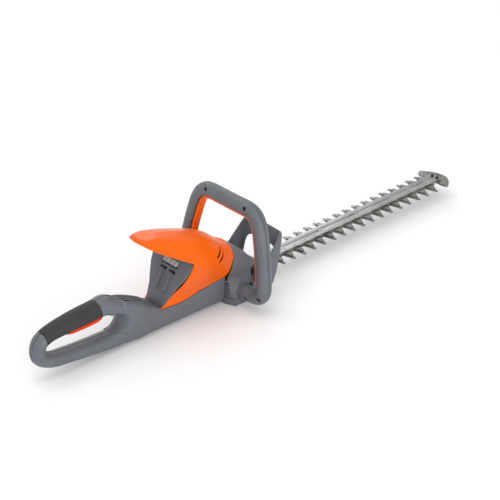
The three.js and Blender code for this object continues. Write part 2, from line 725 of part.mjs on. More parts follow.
const basePost = rod('z', 11, [crankX, 0, baseThickness - 1], 16, 24);
const gearboxBase = join(
  plate(footPlan, 0, baseThickness).intersect(jointFace(clearance / 2)),
  basePost,
).subtract(rod('z', shaftRadius + runningGap, [crankX, 0, 16], 20, 20));
const baseSeats = join(...baseScrewSpots.map(([x, y]) => rod(
  'z', screwHeadRadius + 0.3, [x, y, -1], 1 + screwHeadHeight + 1.2, 16,
)));
add('gearbox_base', gearboxBase.subtract(baseScrewHoles).subtract(baseSeats), 'casing');

// A screw whose head faces the given way, with its head's underside at the given place.
function screw(seat, facing, length, radius = screwRadius) {
  const head = screwHeadRadius * radius / screwRadius;
  const profile = [
    [0, -length], [radius, -length + 1], [radius, 0],
    [head, 0], [head, screwHeadHeight], [0, screwHeadHeight],
  ].map(([r, height]) => new THREE.Vector2(r, height));
  const body = new THREE.LatheGeometry(profile, 8);
  const socket = new THREE.CylinderGeometry(head * 0.5, head * 0.5, 2.4, 6);
  socket.translate(0, screwHeadHeight, 0);
  const turn = new THREE.Quaternion().setFromUnitVectors(
    new THREE.Vector3(0, 1, 0), new THREE.Vector3(...facing).normalize(),
  );
  [body, socket].forEach((geometry) => {
    geometry.applyQuaternion(turn);
    geometry.translate(...seat);
  });
  return solid(body).subtract(solid(socket));
}

baseScrewSpots.forEach(([x, y], index) => {
  add(`base_screw_${index + 1}`, screw([x, y, screwHeadHeight + 0.6], [0, 0, -1], 19), 'fixing');
});

const gearPlate = plate(outline([
  [pinionX - 22, -20], [jointX - 2, -20], [jointX + 4, -30], [2, -32], [5, -24],
  [5, 24], [2, 32], [jointX + 4, 30], [jointX - 2, 20], [pinionX - 22, 20],
]), plateFloor, plateTop)
  .subtract(rod('z', 10 + clearance, [crankX, 0, plateFloor - 1], 6, 24));
add('gear_plate', gearPlate, 'zinc');
add('crank_bearing', turned('z', [
  [shaftRadius + clearance, plateFloor - 0.6], [10, plateFloor - 0.6], [10, plateTop + 0.6],
  [shaftRadius + clearance, plateTop + 0.6], [shaftRadius + clearance, plateFloor - 0.6],
], [crankX, 0, 0], 24), 'steel');
const motorLegs = join(...[1, -1].map((side) => box(
  [pinionX - 8, side > 0 ? 15.5 : -18, plateTop + clearance],
  [pinionX + 8, side > 0 ? 18 : -15.5, motorBaseZ + 1],
)));
add('motor_bracket', join(
  rod('z', motorRadius, [pinionX, 0, motorBaseZ], 2.5, 20).intersect(bayCore),
  motorLegs,
).subtract(rod('z', pinionRadius + 3, [pinionX, 0, motorBaseZ - 1], 5, 20)), 'zinc');

// ---------------------------------------------------------------- cutter

const rightTeeth = Array.from({ length: teethPerSide }, (_, k) => rightFirst + toothPitch * k);
const leftTeeth = Array.from({ length: teethPerSide - 2 }, (_, k) => leftFirst + toothPitch * k);
const spineEnd = leftTeeth.at(-1) + 5;
const windowHalfLength = eccentricRadius + 2 * crankThrow + runningGap;
const windowHalfWidth = eccentricRadius + crankThrow + runningGap;
const yokeHalfLength = windowHalfLength + 5;
const yokeHalfWidth = windowHalfWidth + 4.5;
const boltPlaces = Array.from(
  { length: boltCount }, (_, k) => firstBolt + (spineEnd - 17 - firstBolt) * k / (boltCount - 1),
);

const fingerShape = (x, side) => [
  [x - 8, side * spineHalfWidth], [x - 3.6, side * (fingerReach - 8)], [x - 2.4, side * fingerReach],
  [x + 2.4, side * fingerReach], [x + 3.6, side * (fingerReach - 8)],
  [Math.min(x + 8, spineEnd), side * spineHalfWidth],
];
const cutterShape = (x, side) => [
  [x - 5, side * spineHalfWidth], [x - 1.8, side * cutterReach],
  [x + 3.6, side * cutterReach], [Math.min(x + 9, spineEnd), side * spineHalfWidth],
];

function blade(toothShape, low, high) {
  const tooth = (centres, side) => centres.flatMap((x) => toothShape(x, side));
  const rear = crankX - yokeHalfLength;
  const front = crankX + yokeHalfLength;
  const points = [
    [rear, -yokeHalfWidth], [front, -yokeHalfWidth], [front + 4, -spineHalfWidth],
    ...tooth(rightTeeth, -1),
    [spineEnd, -spineHalfWidth],
    ...tooth(leftTeeth, 1).reverse(),
    [front + 4, spineHalfWidth], [front, yokeHalfWidth], [rear, yokeHalfWidth],
  ];
  const slotReach = crankThrow + boltRadius + 0.5;
  const slots = boltPlaces.map((x) => box(
    [x - slotReach, -boltRadius - 0.4, low - 1], [x + slotReach, boltRadius + 0.4, high + 1],
  ));
  return plate(outline(points), low, high)
    .subtract(box(
      [crankX - windowHalfLength, -windowHalfWidth, low - 1],
      [crankX + windowHalfLength, windowHalfWidth, high + 1],
    ))
    .subtract(join(...slots));
}
add('lower_blade', blade(fingerShape, lowerBladeFloor, combHeight), 'blade');
add('upper_blade', blade(cutterShape, upperBladeFloor, upperBladeTop), 'blade');

const barFloor = upperBladeTop + clearance;
const barTop = barFloor + guideBarHeight;
const barRear = 21;
const tipRear = spineEnd + crankThrow + 1.35;
const barEnd = tipRear + 14.4;
const tipScrewSpots = [[tipRear + 6.4, 6], [tipRear + 6.4, -6]];
const barGroove = box([50, -0.8, barTop - 0.7], [barEnd - 4, 0.8, barTop + 1]);
const barDimples = Array.from({ length: teethPerSide - 1 }, (_, k) => rod(
  'z', 1.6, [firstBolt + toothPitch * k, -8.4, barTop - 0.6], 2, 5,
));
const guideBar = plate(outline([
  [barRear, -guideBarHalfWidth], [barEnd - 5, -guideBarHalfWidth], [barEnd, -guideBarHalfWidth + 5],
  [barEnd, guideBarHalfWidth - 5], [barEnd - 5, guideBarHalfWidth], [barRear, guideBarHalfWidth],
]), barFloor, barTop)
  .subtract(join(...boltPlaces.map((x) => rod('z', boltRadius + 0.2, [x, 0, barFloor - 1], 8, 12))))
  .subtract(join(...[[barScrewX, 0], ...tipScrewSpots].map(([x, y]) => rod(
    'z', screwRadius + 0.2, [x, y, barFloor - 1], 8, 12,
  ))))
  .subtract(barGroove)
  .subtract(join(...barDimples));
add('guide_bar', guideBar, 'steel');

boltPlaces.forEach((x, index) => {
  add(`blade_bolt_${index + 1}`, turned('z', [
    [0, lowerBladeFloor - 2.6], [5.6, lowerBladeFloor - 2], [5.6, lowerBladeFloor - clearance],
    [boltRadius, lowerBladeFloor - clearance], [boltRadius, barTop], [0, barTop],
  ], [x, 0, 0], 12), 'steel');
});

const tipFloor = lowerBladeFloor + 0.2;
const tipTop = barFloor - clearance;
const tipOutline = smooth([
  [1.4, 37], [5.4, 40.5], [11.4, 41.5], [18.4, 34], [25.4, 23], [29.9, 11], [30.9, 0], [28.4, -12],
  [20.4, -23.5], [11.4, -31.5], [4.4, -34.5], [1.4, -32],
], 34).concat([[0, -26], [0, 30]]).map(([x, y]) => [tipRear + x, y]);
const tipHole = new THREE.Shape().absellipse(tipRear + 21.4, 3, 3, 8, 0, 2 * Math.PI);
const tipGuard = plate(outline(tipOutline), tipFloor, tipTop)
  .subtract(plate(tipHole, tipFloor - 1, tipTop + 1))
  .subtract(join(...tipScrewSpots.map(([x, y]) => rod(
    'z', screwRadius + 0.2, [x, y, tipFloor - 1], 8, 12,
  ))));
add('tip_guard', tipGuard, 'blade');
tipScrewSpots.forEach(([x, y], index) => {
  add(`tip_screw_${index + 1}`, screw([x, y, barTop + clearance], [0, 0, 1], 7.6), 'fixing');
});

// ---------------------------------------------------------------- front loop handle

const loopKnee = 51;          // the legs stand upright below this height and lean forward above it
const loopRake = (z) => {
  const share = (loopHeight - Math.max(z, loopKnee)) / (loopHeight - loopKnee);
  return loopTopX - (loopTopX - loopFootX) * share;
};
const loopStart = boxHalf + bushingLength + 0.6;
const loopHollow = loopTube - wall + 0.2;
const loopLeft = [
  [loopStart, loopFootHeight], [loopHalfWidth - loopBend - 3, loopFootHeight],
  [loopHalfWidth - 12, loopFootHeight + 4.5],
  [loopHalfWidth - 3.5, loopFootHeight + 14], [loopHalfWidth - 1.7, loopFootHeight + 29],
  [92.5, loopHeight - 83.5], [84, loopHeight - 47.5],
  [loopShoulder + 2, loopHeight - 27.5], [loopShoulder - 6, loopHeight - 12],
  [loopShoulder - 18, loopHeight - 2.6],
  [loopShoulder - loopTopBend - 2, loopHeight], [20, loopHeight],
].map(([y, z]) => new THREE.Vector3(loopRake(z), y, z));
const loopRight = loopLeft.map((point) => new THREE.Vector3(point.x, -point.y, point.z)).reverse();
const loopPath = new THREE.CatmullRomCurve3([...loopLeft, ...loopRight], false, 'centripetal');
loopPath.arcLengthDivisions = 600;
const loopLength = loopPath.getLength();

function loopFrame(u) {
  const along = loopPath.getTangentAt(u);
  const front = new THREE.Vector3(1, 0, 0).addScaledVector(along, -along.x).normalize();
  const outward = new THREE.Vector3().crossVectors(along, front);
  return { origin: loopPath.getPointAt(u), front, outward, along };
}

// A section swept along the loop: its first number points forwards and its second outwards.
function alongLoop(section, from, to, steps) {
  const geometry = new THREE.ExtrudeGeometry(outline(section), { depth: 1, steps, bevelEnabled: false });
  const position = geometry.attributes.position;
  for (let i = 0; i < position.count; i += 1) {
    const { origin, front, outward } = loopFrame(from + (to - from) * position.getZ(i));
    const point = origin.addScaledVector(front, position.getX(i)).addScaledVector(outward, position.getY(i));
    position.setXYZ(i, point.x, point.y, point.z);
  }
  return solid(geometry);
}

function onLoop(shape, u, out) {
  const { origin, front, outward, along } = loopFrame(u);
  const place = new THREE.Matrix4().makeBasis(front, outward, along);
  place.setPosition(origin.addScaledVector(outward, out));
  return shape.transform(place.elements);
}

function halfRing(side) {
  const arc = (radius, count) => Array.from({ length: count + 1 }, (_, k) => {
    const angle = -Math.PI / 2 + (Math.PI * k) / count;
    return [side * Math.max(radius * Math.cos(angle), clearance / 2), radius * Math.sin(angle)];
  });
  return [...arc(loopTube, 8), ...arc(loopHollow, 5).reverse()];
}

const bailStart = 62 / loopLength;
const bailBack = 4 - loopTube;
const bailSection = [
  [-bailHalfWidth, bailBack], [-bailHalfWidth, -loopTube + 0.2],
  [-bailHalfWidth + 2.4, -loopTube - bailProud],
  [bailHalfWidth - 2.4, -loopTube - bailProud], [bailHalfWidth, -loopTube + 0.2], [bailHalfWidth, bailBack],
];
const slotHalf = bailHalfWidth + 0.9;
const slotBack = bailBack + bailTravel + 0.8;
const bailSlot = alongLoop(
  [[-slotHalf, slotBack], [-slotHalf, -2 * loopTube], [slotHalf, -2 * loopTube], [slotHalf, slotBack]],
  bailStart - 1.5 / loopLength, 1 - bailStart + 1.5 / loopLength, 26,
);
add('switch_bail', alongLoop(bailSection, bailStart, 1 - bailStart, 26), 'orange');

const loopScrewPlaces = [11, 42, loopLength / 2 - 47.3].flatMap((reach) => [
  reach / loopLength, 1 - reach / loopLength,
]);
const bossOut = loopHollow - 6.2;
const rearWell = join(rod('x', 3.6, [-16, 0, 0], 9.4, 10), rod('x', screwRadius + 0.2, [-8, 0, 0], 9, 8));
const rearBoss = rod('x', 4.9, [-8.4, 0, 0], 8.4 - clearance / 2, 10);
const frontBoss = rod('x', 4.4, [clearance / 2, 0, 0], 8.2, 10);
const frontWell = rod('x', screwRadius + 0.2, [-1, 0, 0], 8.6, 8);
const atScrews = (shape) => join(...loopScrewPlaces.map((u) => onLoop(shape, u, bossOut)));
const plugRadius = loopHollow - 1.2;
const bushingSeats = join(...[loopStart - 5, -loopStart - 10].map((y) => rod(
  'y', plugRadius + clearance, [loopFootX, y, loopFootHeight], 15, 16,
)));
const frontShell = join(alongLoop(halfRing(1), 0, 1, 28), atScrews(frontBoss))
  .subtract(bailSlot)
  .subtract(atScrews(frontWell))
  .subtract(bushingSeats);
const rearShell = join(alongLoop(halfRing(-1), 0, 1, 28), atScrews(rearBoss))
  .subtract(bailSlot)
  .subtract(atScrews(rearWell))
  .subtract(bushingSeats);
add('loop_front_shell', frontShell, 'casing');
add('loop_rear_shell', rearShell, 'casing');
loopScrewPlaces.forEach((u, index) => {
  add(`loop_screw_${index + 1}`, onLoop(screw([-6.9, 0, 0], [-1, 0, 0], 13), u, bossOut), 'fixing');
});

[['left', 1], ['right', -1]].forEach(([name, side]) => {
  const bushing = new THREE.LatheGeometry([
    [0, -8], [4, -8], [4, clearance], [loopTube - 1, clearance], [loopTube - 1, bushingLength],
    [plugRadius, bushingLength], [plugRadius, bushingLength + 5.5], [0, bushingLength + 5.5],
  ].map(([radius, height]) => new THREE.Vector2(radius, height)), 16);
  if (side < 0) bushing.rotateX(Math.PI);
  bushing.translate(loopFootX, side * boxHalf, loopFootHeight);
  add(`bushing_${name}`, solid(bushing), 'casing');
});

add('front_microswitch', onLoop(
  box([-5, slotBack, -10], [5, loopHollow - 1.8, 10]), 0.5, 0,
), 'dark');

function coil(radius, wire, low, high, rounds) {
  return loft(5, rounds * 8, (t, angle, reach) => {
    const turn = rounds * 2 * Math.PI * t;
    const out = radius + wire * reach * Math.cos(angle);
    const rise = low + wire + (high - low - 2 * wire) * t;
    return new THREE.Vector3(
      out * Math.cos(turn), out * Math.sin(turn), rise + wire * reach * Math.sin(angle),
    );
  });
}
const bailCoil = coil(3, 0.55, bailBack + clearance, loopHollow - 0.8, 4);
[['left', 1], ['right', -1]].forEach(([name, side]) => {
  add(`bail_spring_${name}`, bailCoil.translate([loopTopX, side * 30, loopHeight]), 'steel');
});
add('trigger_spring', coil(2.6, 0.5, 73.4, 79.2, 3).translate([gripFront - 12, 0, 0]), 'steel');

// ---------------------------------------------------------------- hand guard

const guardThickness = 3.5;
// Up the guard: its front face, and how far its corners and rear edges stand out from the gearbox.
const guardRise = [
  { z: 14, front: 45, wide: 3, rear: -5, out: 5.6 },
  { z: 32, front: 53, wide: 2.4, rear: -4, out: 5.6 },
  { z: 38, front: 55, wide: 2, rear: 10, out: 5.6 },
  { z: 53, front: 59, wide: 1.4, rear: 25, out: 5 },
  { z: 75, front: 64.5, wide: 0.4, rear: 44, out: 2 },
  { z: 95, front: 69, wide: -1.6, rear: 61, out: -1.5 },
  { z: 102, front: 70.5, wide: -5, rear: 68, out: -4.5 },
];
const guardFronts = new THREE.CatmullRomCurve3(
  guardRise.map(({ z, front, wide }) => new THREE.Vector3(front, boxHalf + wide, z)), false, 'centripetal',
);
const guardRears = new THREE.CatmullRomCurve3(
  guardRise.map(({ z, rear, out }) => new THREE.Vector3(rear, boxHalf + out, z)), false, 'centripetal',
);

function guardPoint(u, v) {
  const corner = guardFronts.getPoint(v);
  const edge = guardRears.getPoint(v);
  const side = Math.sign(u);
  const reach = Math.abs(u);
  const fold = 0.66;
  if (reach <= fold) {
    const crown = 2 * (1 - (reach / fold) ** 2);
    return new THREE.Vector3(corner.x + crown, side * corner.y * (reach / fold), corner.z);
  }
  const along = (reach - fold) / (1 - fold);
  return new THREE.Vector3(
    corner.x + (edge.x - corner.x) * along,
    side * (corner.y + (edge.y - corner.y) * along),
    corner.z + (edge.z - corner.z) * along,
  );
}

const guardSheet = new THREE.BoxGeometry(2, 1, 1, 18, 9, 1);
const guardPosition = guardSheet.attributes.position;
for (let i = 0; i < guardPosition.count; i += 1) {
  const u = guardPosition.getX(i);
  const v = guardPosition.getY(i) + 0.5;
  const across = guardPoint(Math.min(u + 0.02, 1), v).sub(guardPoint(Math.max(u - 0.02, -1), v));
  const up = guardPoint(u, Math.min(v + 0.02, 1)).sub(guardPoint(u, Math.max(v - 0.02, 0)));
  const normal = across.cross(up).normalize();
  const point = guardPoint(u, v).addScaledVector(normal, guardPosition.getZ(i) * guardThickness);
  guardPosition.setXYZ(i, point.x, point.y, point.z);
}

function panelAlongX(points, rear, front) {
  const geometry = new THREE.ExtrudeGeometry(outline(points), { depth: front - rear, bevelEnabled: false });
  geometry.applyMatrix4(new THREE.Matrix4().makeBasis(
    new THREE.Vector3(0, 1, 0), new THREE.Vector3(0, 0, 1), new THREE.Vector3(1, 0, 0),
  ));
  geometry.translate(rear, 0, 0);
  return solid(geometry);
}
const archHalf = [[7, 5], [7, 54], [9, 64], [14, 70], [21, 72.5]].map(([inside, z]) => [boxHalf - inside, z]);
const arch = panelAlongX([
  ...archHalf.map(([y, z]) => [-y, z]), ...[...archHalf].reverse(),
], 20, 110);
const guardLugs = join(...[1, -1].map((side) => box(
  [-6.4, side > 0 ? boxHalf + clearance : -boxHalf - 5.5, 15],
  [3, side > 0 ? boxHalf + 5.5 : -boxHalf - clearance, 25],
)));
const handGuard = join(solid(guardSheet).subtract(arch), guardLugs).subtract(guardHoles);
add('hand_guard', handGuard, 'casing');
[['left', 1], ['right', -1]].forEach(([name, side]) => {
  add(`guard_screw_${name}`, screw(
    [guardScrewX, side * (boxHalf + 7.8), guardScrewZ], [0, side, 0], 15,
  ), 'fixing');
});
add('bar_screw', screw([barScrewX, 0, noseTop + clearance], [0, 0, 1], 12), 'fixing');

export default group;
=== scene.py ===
import json
import math
import bmesh
import bpy
from mathutils import Matrix, Vector


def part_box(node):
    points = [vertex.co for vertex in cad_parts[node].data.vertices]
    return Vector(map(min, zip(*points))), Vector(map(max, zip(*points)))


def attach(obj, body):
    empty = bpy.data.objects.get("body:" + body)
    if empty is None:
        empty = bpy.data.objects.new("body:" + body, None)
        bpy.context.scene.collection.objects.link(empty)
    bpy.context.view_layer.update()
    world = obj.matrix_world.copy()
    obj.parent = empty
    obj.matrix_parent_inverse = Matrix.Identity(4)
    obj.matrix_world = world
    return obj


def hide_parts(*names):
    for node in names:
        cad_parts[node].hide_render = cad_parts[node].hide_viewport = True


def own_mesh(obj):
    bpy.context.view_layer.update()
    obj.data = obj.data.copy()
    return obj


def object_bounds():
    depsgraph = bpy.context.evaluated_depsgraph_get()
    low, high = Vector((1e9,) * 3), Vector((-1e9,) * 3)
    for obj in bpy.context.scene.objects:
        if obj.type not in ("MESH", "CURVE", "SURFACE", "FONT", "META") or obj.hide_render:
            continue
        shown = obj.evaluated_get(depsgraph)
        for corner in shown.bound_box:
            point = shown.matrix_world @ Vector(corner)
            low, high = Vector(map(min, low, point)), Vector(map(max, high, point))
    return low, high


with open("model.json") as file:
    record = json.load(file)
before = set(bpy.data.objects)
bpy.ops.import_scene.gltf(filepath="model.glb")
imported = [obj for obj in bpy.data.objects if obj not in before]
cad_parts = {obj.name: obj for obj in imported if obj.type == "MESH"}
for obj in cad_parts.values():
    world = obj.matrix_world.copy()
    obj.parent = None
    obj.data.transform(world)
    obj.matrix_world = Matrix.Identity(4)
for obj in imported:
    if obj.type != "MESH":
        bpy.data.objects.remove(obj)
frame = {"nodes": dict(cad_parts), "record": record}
cadLow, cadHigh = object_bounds()
nodes = frame["nodes"]
mm = 0.001
collection = bpy.context.scene.collection

# ---- camera, light and floor

camera = {"at": (-1.2973, -1.4637, 1.1987), "right": (0.7387, -0.6740, -0.0006),
          "back": (-0.5843, -0.6408, 0.4979), "lens": 96.3}


def makeCamera():
    data = bpy.data.cameras.new("camera")
    data.lens = camera["lens"]
    data.sensor_width = 36
    data.clip_end = 50
    obj = bpy.data.objects.new("camera", data)
    collection.objects.link(obj)
    back = Vector(camera["back"]).normalized()
    right = Vector(camera["right"])
    right = (right - back * right.dot(back)).normalized()
    up = back.cross(right)
    turn = Matrix((right, up, back)).transposed().to_4x4()
    obj.matrix_world = Matrix.Translation(camera["at"]) @ turn
    bpy.context.scene.camera = obj


def areaLight(name, place, aim, size, power):
    data = bpy.data.lights.new(name, "AREA")
    data.shape = "RECTANGLE"
    data.size, data.size_y = size
    data.energy = power
    obj = bpy.data.objects.new(name, data)
    collection.objects.link(obj)
    way = Vector(aim) - Vector(place)
    obj.matrix_world = Matrix.Translation(place) @ way.to_track_quat("-Z", "Y").to_matrix().to_4x4()


def makeStudio():
    bm = bmesh.new()
    bmesh.ops.create_grid(bm, x_segments=1, y_segments=1, size=14)
    mesh = bpy.data.meshes.new("floor")
    bm.to_mesh(mesh)
    bm.free()
    floor = bpy.data.objects.new("floor", mesh)
    floor.location.z = cadLow.z - 0.0005
    collection.objects.link(floor)
    paint = bpy.data.materials.new("floorPaint")
    paint.use_nodes = True
    shader = paint.node_tree.nodes["Principled BSDF"]
    shader.inputs["Base Color"].default_value = (0.9, 0.9, 0.9, 1)
    shader.inputs["Roughness"].default_value = 0.9
    mesh.materials.append(paint)
    world = bpy.data.worlds.new("studio")
    bpy.context.scene.world = world
    world.use_nodes = True
    world.node_tree.nodes["Background"].inputs[0].default_value = (1, 1, 1, 1)
    world.node_tree.nodes["Background"].inputs[1].default_value = 0.85
    areaLight("keyLight", (-0.5, 0.2, 2.2), (0, 0, 0.05), (1.8, 1.8), 12)
    areaLight("fillLight", (-0.8, -2.1, 0.75), (-0.1, 0, 0.05), (1.8, 0.9), 21)
    areaLight("rimLight", (1.0, 1.6, 1.0), (0, 0, 0.05), (1.2, 0.8), 8)


bpy.context.scene.view_settings.view_transform = "Standard"
makeCamera()
makeStudio()
print("camera, lights and floor are set")

# ---- shader maths


class Wire:
    def __init__(self, shade, socket):
        self.shade = shade
        self.socket = socket

    def maths(self, operation, *values):
        return self.shade.node("ShaderNodeMath", {"operation": operation}, dict(enumerate(values))).out(0)

    def __add__(self, other):
        return self.maths("ADD", self, other)

    def __sub__(self, other):
        return self.maths("SUBTRACT", self, other)

    def __rsub__(self, other):
        return self.maths("SUBTRACT", other, self)

    def __mul__(self, other):
        return self.maths("MULTIPLY", self, other)

    __radd__ = __add__
    __rmul__ = __mul__


class Node:
    def __init__(self, shade, node):
        self.shade = shade
        self.inner = node

    def out(self, key=0):
        return Wire(self.shade, self.inner.outputs[key])


class Shade:
    def __init__(self, name):
        self.material = bpy.data.materials.new(name)
        self.material.use_nodes = True
        self.tree = self.material.node_tree
        self.shader = self.tree.nodes["Principled BSDF"]
        self.coords = self.node("ShaderNodeTexCoord").out("Object")

    def node(self, kind, settings=None, values=None):
        made = self.tree.nodes.new(kind)
        for key, value in (settings or {}).items():
            setattr(made, key, value)
        for key, value in (values or {}).items():
            self.plug(made.inputs[key], value)
        return Node(self, made)

    def plug(self, socket, value):
        if isinstance(value, Wire):
            self.tree.links.new(value.socket, socket)
        else:
            socket.default_value = value

    def noise(self, scale, detail=3, stretch=None, rough=0.5):
        place = self.coords
        if stretch:
            place = self.node("ShaderNodeMapping", {}, {"Vector": self.coords, "Scale": stretch}).out(0)
        return self.node("ShaderNodeTexNoise", {}, {
            "Vector": place, "Scale": scale, "Detail": detail, "Roughness": rough}).out(0)

    def ramp(self, value, low, high, dark=0.0, light=1.0):
        return self.node("ShaderNodeMapRange", {"clamp": True}, {
            0: value, 1: low, 2: high, 3: dark, 4: light}).out(0)

    def mix(self, factor, first, second):
        return self.node("ShaderNodeMix", {"data_type": "RGBA"}, {0: factor, 6: first, 7: second}).out(2)

    def bump(self, height, strength, distance):
        return self.node("ShaderNodeBump", {}, {
            "Height": height, "Strength": strength, "Distance": distance}).out(0)

    def finish(self, **values):
        for key, value in values.items():
            self.plug(self.shader.inputs[key.replace("_", " ")], value)
        return self.material


def colour(r, g, b):
    return (r, g, b, 1.0)


def mouldedPlastic(name, look):
    shade = Shade(name)
    cloud = shade.noise(look["cloudScale"], 4)
    grain = shade.noise(look["grainScale"], 2)
    scuffs = shade.ramp(shade.noise(90, 6, (1, 5, 5), 0.7), 0.62, 0.74)
    base = shade.mix(shade.ramp(cloud, 0.3, 0.7), look["deep"], look["pale"])
    base = shade.mix(scuffs * look["scuffs"], base, look["worn"])
    rough = shade.ramp(cloud, 0.25, 0.75, look["rough"] - 0.05, look["rough"] + 0.05) + scuffs * 0.08
    shape = grain + shade.noise(look["grainScale"] * 0.23, 2) * 0.4
    return shade.finish(Base_Color=base, Roughness=rough, Coat_Weight=look["coat"], Coat_Roughness=0.08,
                        Specular_IOR_Level=look["gloss"], Normal=shade.bump(shape, look["bump"], 0.0002))


casingLook = {"cloudScale": 22, "grainScale": 1500, "deep": colour(0.100, 0.108, 0.124),
              "pale": colour(0.122, 0.131, 0.150), "worn": colour(0.17, 0.175, 0.19), "scuffs": 0.35,
              "rough": 0.46, "coat": 0.0, "gloss": 0.45, "bump": 0.35}
orangeLook = {"cloudScale": 14, "grainScale": 420, "deep": colour(0.75, 0.104, 0.0004),
              "pale": colour(0.81, 0.118, 0.0008), "worn": colour(0.84, 0.17, 0.02), "scuffs": 0.12,
              "rough": 0.3, "coat": 0.07, "gloss": 0.14, "bump": 0.05}
gripLook = {"cloudScale": 30, "grainScale": 1100, "deep": colour(0.022, 0.022, 0.023),
            "pale": colour(0.034, 0.034, 0.035), "worn": colour(0.06, 0.06, 0.06), "scuffs": 0.4,
            "rough": 0.62, "coat": 0.0, "gloss": 0.35, "bump": 0.6}
triggerLook = {"cloudScale": 25, "grainScale": 900, "deep": colour(0.66, 0.028, 0.003),
               "pale": colour(0.74, 0.040, 0.004), "worn": colour(0.8, 0.1, 0.03), "scuffs": 0.25,
               "rough": 0.42, "coat": 0.0, "gloss": 0.12, "bump": 0.15}
terminalLook = {"cloudScale": 40, "grainScale": 900, "deep": colour(0.36, 0.37, 0.38),
                "pale": colour(0.44, 0.45, 0.46), "worn": colour(0.5, 0.5, 0.5), "scuffs": 0.2,
                "rough": 0.45, "coat": 0.0, "gloss": 0.4, "bump": 0.1}
boardLook = {"cloudScale": 60, "grainScale": 700, "deep": colour(0.01, 0.10, 0.035),
             "pale": colour(0.02, 0.15, 0.055), "worn": colour(0.2, 0.24, 0.12), "scuffs": 0.5,
             "rough": 0.4, "coat": 0.3, "gloss": 0.5, "bump": 0.2}

steelLook = {"deep": colour(0.26, 0.26, 0.257), "pale": colour(0.41, 0.41, 0.405), "rough": 0.42,
             "grind": (4, 120, 120), "metal": 1.0}
bladeLook = {"deep": colour(0.15, 0.148, 0.14), "pale": colour(0.33, 0.325, 0.31), "rough": 0.4,
             "grind": (120, 6, 40), "metal": 1.0}
zincLook = {"deep": colour(0.30, 0.31, 0.32), "pale": colour(0.44, 0.45, 0.46), "rough": 0.48,
            "grind": (30, 30, 30), "metal": 1.0}
# screws are painted near black, a painted shade standing in for the shade down in the loop's screw wells;
# the tip screws and the other screws take it too
paintedShadeScrewLook = {"deep": colour(0.03, 0.03, 0.032), "pale": colour(0.06, 0.06, 0.062), "rough": 0.4,
              "grind": (40, 40, 40), "metal": 1.0}
brassLook = {"deep": colour(0.50, 0.30, 0.08), "pale": colour(0.68, 0.43, 0.14), "rough": 0.34,
             "grind": (60, 8, 60), "metal": 1.0}


def groundMetal(name, look):
    shade = Shade(name)
    lines = shade.noise(12, 5, look["grind"], 0.65)
    stains = shade.noise(26, 5, None, 0.6)
    base = shade.mix(shade.ramp(lines * 0.6 + stains * 0.4, 0.38, 0.62), look["deep"], look["pale"])
    rough = shade.ramp(stains, 0.3, 0.7, look["rough"] - 0.07, look["rough"] + 0.09)
    return shade.finish(Base_Color=base, Metallic=look["metal"], Roughness=rough,
                        Normal=shade.bump(lines, 0.25, 0.00012))


materials = {
    "casing": mouldedPlastic("casingPlastic", casingLook),
    "orange": mouldedPlastic("orangePlastic", orangeLook),
    "dark": mouldedPlastic("softGrip", gripLook),
    "trigger": mouldedPlastic("triggerPlastic", triggerLook),
    "board": mouldedPlastic("circuitBoard", boardLook),
    "steel": groundMetal("brushedBar", steelLook),
    "blade": groundMetal("groundBlade", bladeLook),
    "zinc": groundMetal("castAlloy", zincLook),
    "brass": groundMetal("contactBrass", brassLook),
    "terminal": mouldedPlastic("terminalPlastic", terminalLook),
    # the screws' steel carries the painted shade of their wells
    "fixing": groundMetal("paintedShadeScrewSteel", paintedShadeScrewLook),
}
slotOf = {part["node"]: part["material_slot"] for part in frame["record"]["subparts"]}
bodyOf = {node: body for body, members in frame["record"]["behaviour"]["bodies"].items() for node in members}
for name, obj in nodes.items():
    obj.data.materials.clear()
    obj.data.materials.append(materials[slotOf[name]])
print("materials are made")

# ---- shapes: curves, lofts, slabs and cuts


def blendKnots(a, b, c, d, share):
    # one span of a centripetal curve, between its middle two points
    gaps = [max((q - p).length_squared ** 0.25, 1e-4) for p, q in ((a, b), (b, c), (c, d))]
    if (b - a).length < 1e-4:
        gaps[0] = gaps[1]
    if (d - c).length < 1e-4:
        gaps[2] = gaps[1]
    start = ((b - a) / gaps[0] - (c - a) / (gaps[0] + gaps[1]) + (c - b) / gaps[1]) * gaps[1]
    stop = ((c - b) / gaps[1] - (d - b) / (gaps[1] + gaps[2]) + (d - c) / gaps[2]) * gaps[1]
    square, cube = share * share, share ** 3
    return (b * (2 * cube - 3 * square + 1) + start * (cube - 2 * square + share)
            + c * (3 * square - 2 * cube) + stop * (cube - square))


def along(points, t):
    last = len(points) - 1
    place = max(0.0, min(1.0, t)) * last
    span = min(int(place), last - 1)
    first = points[span - 1] if span else points[0] * 2 - points[1]
    after = points[span + 2] if span + 2 <= last else points[last] * 2 - points[last - 1]
    return blendKnots(first, points[span], points[span + 1], after, place - span)


def keep(bm, name):
    bmesh.ops.recalc_face_normals(bm, faces=bm.faces)
    mesh = bpy.data.meshes.new(name)
    bm.to_mesh(mesh)
    bm.free()
    obj = bpy.data.objects.new(name, mesh)
    collection.objects.link(obj)
    return obj


def tube(name, place, rings, steps):
    # a closed skin round a line: place(t, angle) gives each point in millimetres
    bm = bmesh.new()
    bmesh.ops.create_grid(bm, x_segments=rings, y_segments=steps, size=0.5)
    for vert in bm.verts:
        t, angle = vert.co.y + 0.5, (vert.co.x + 0.5) * 2 * math.pi
        vert.co = place(t, angle) * mm
    bmesh.ops.remove_doubles(bm, verts=bm.verts, dist=1e-6)
    bmesh.ops.holes_fill(bm, edges=[edge for edge in bm.edges if edge.is_boundary], sides=0)
    return keep(bm, name)


def prism(corners, way, name="cutter"):
    # an outline given by its corners, run straight along one way
    bm = bmesh.new()
    face = bm.faces.new([bm.verts.new([mm * c for c in corner]) for corner in corners])
    run = bmesh.ops.extrude_face_region(bm, geom=[face])["geom"]
    bmesh.ops.translate(bm, verts=[v for v in run if isinstance(v, bmesh.types.BMVert)],
                        vec=[mm * c for c in way])
    return keep(bm, name)


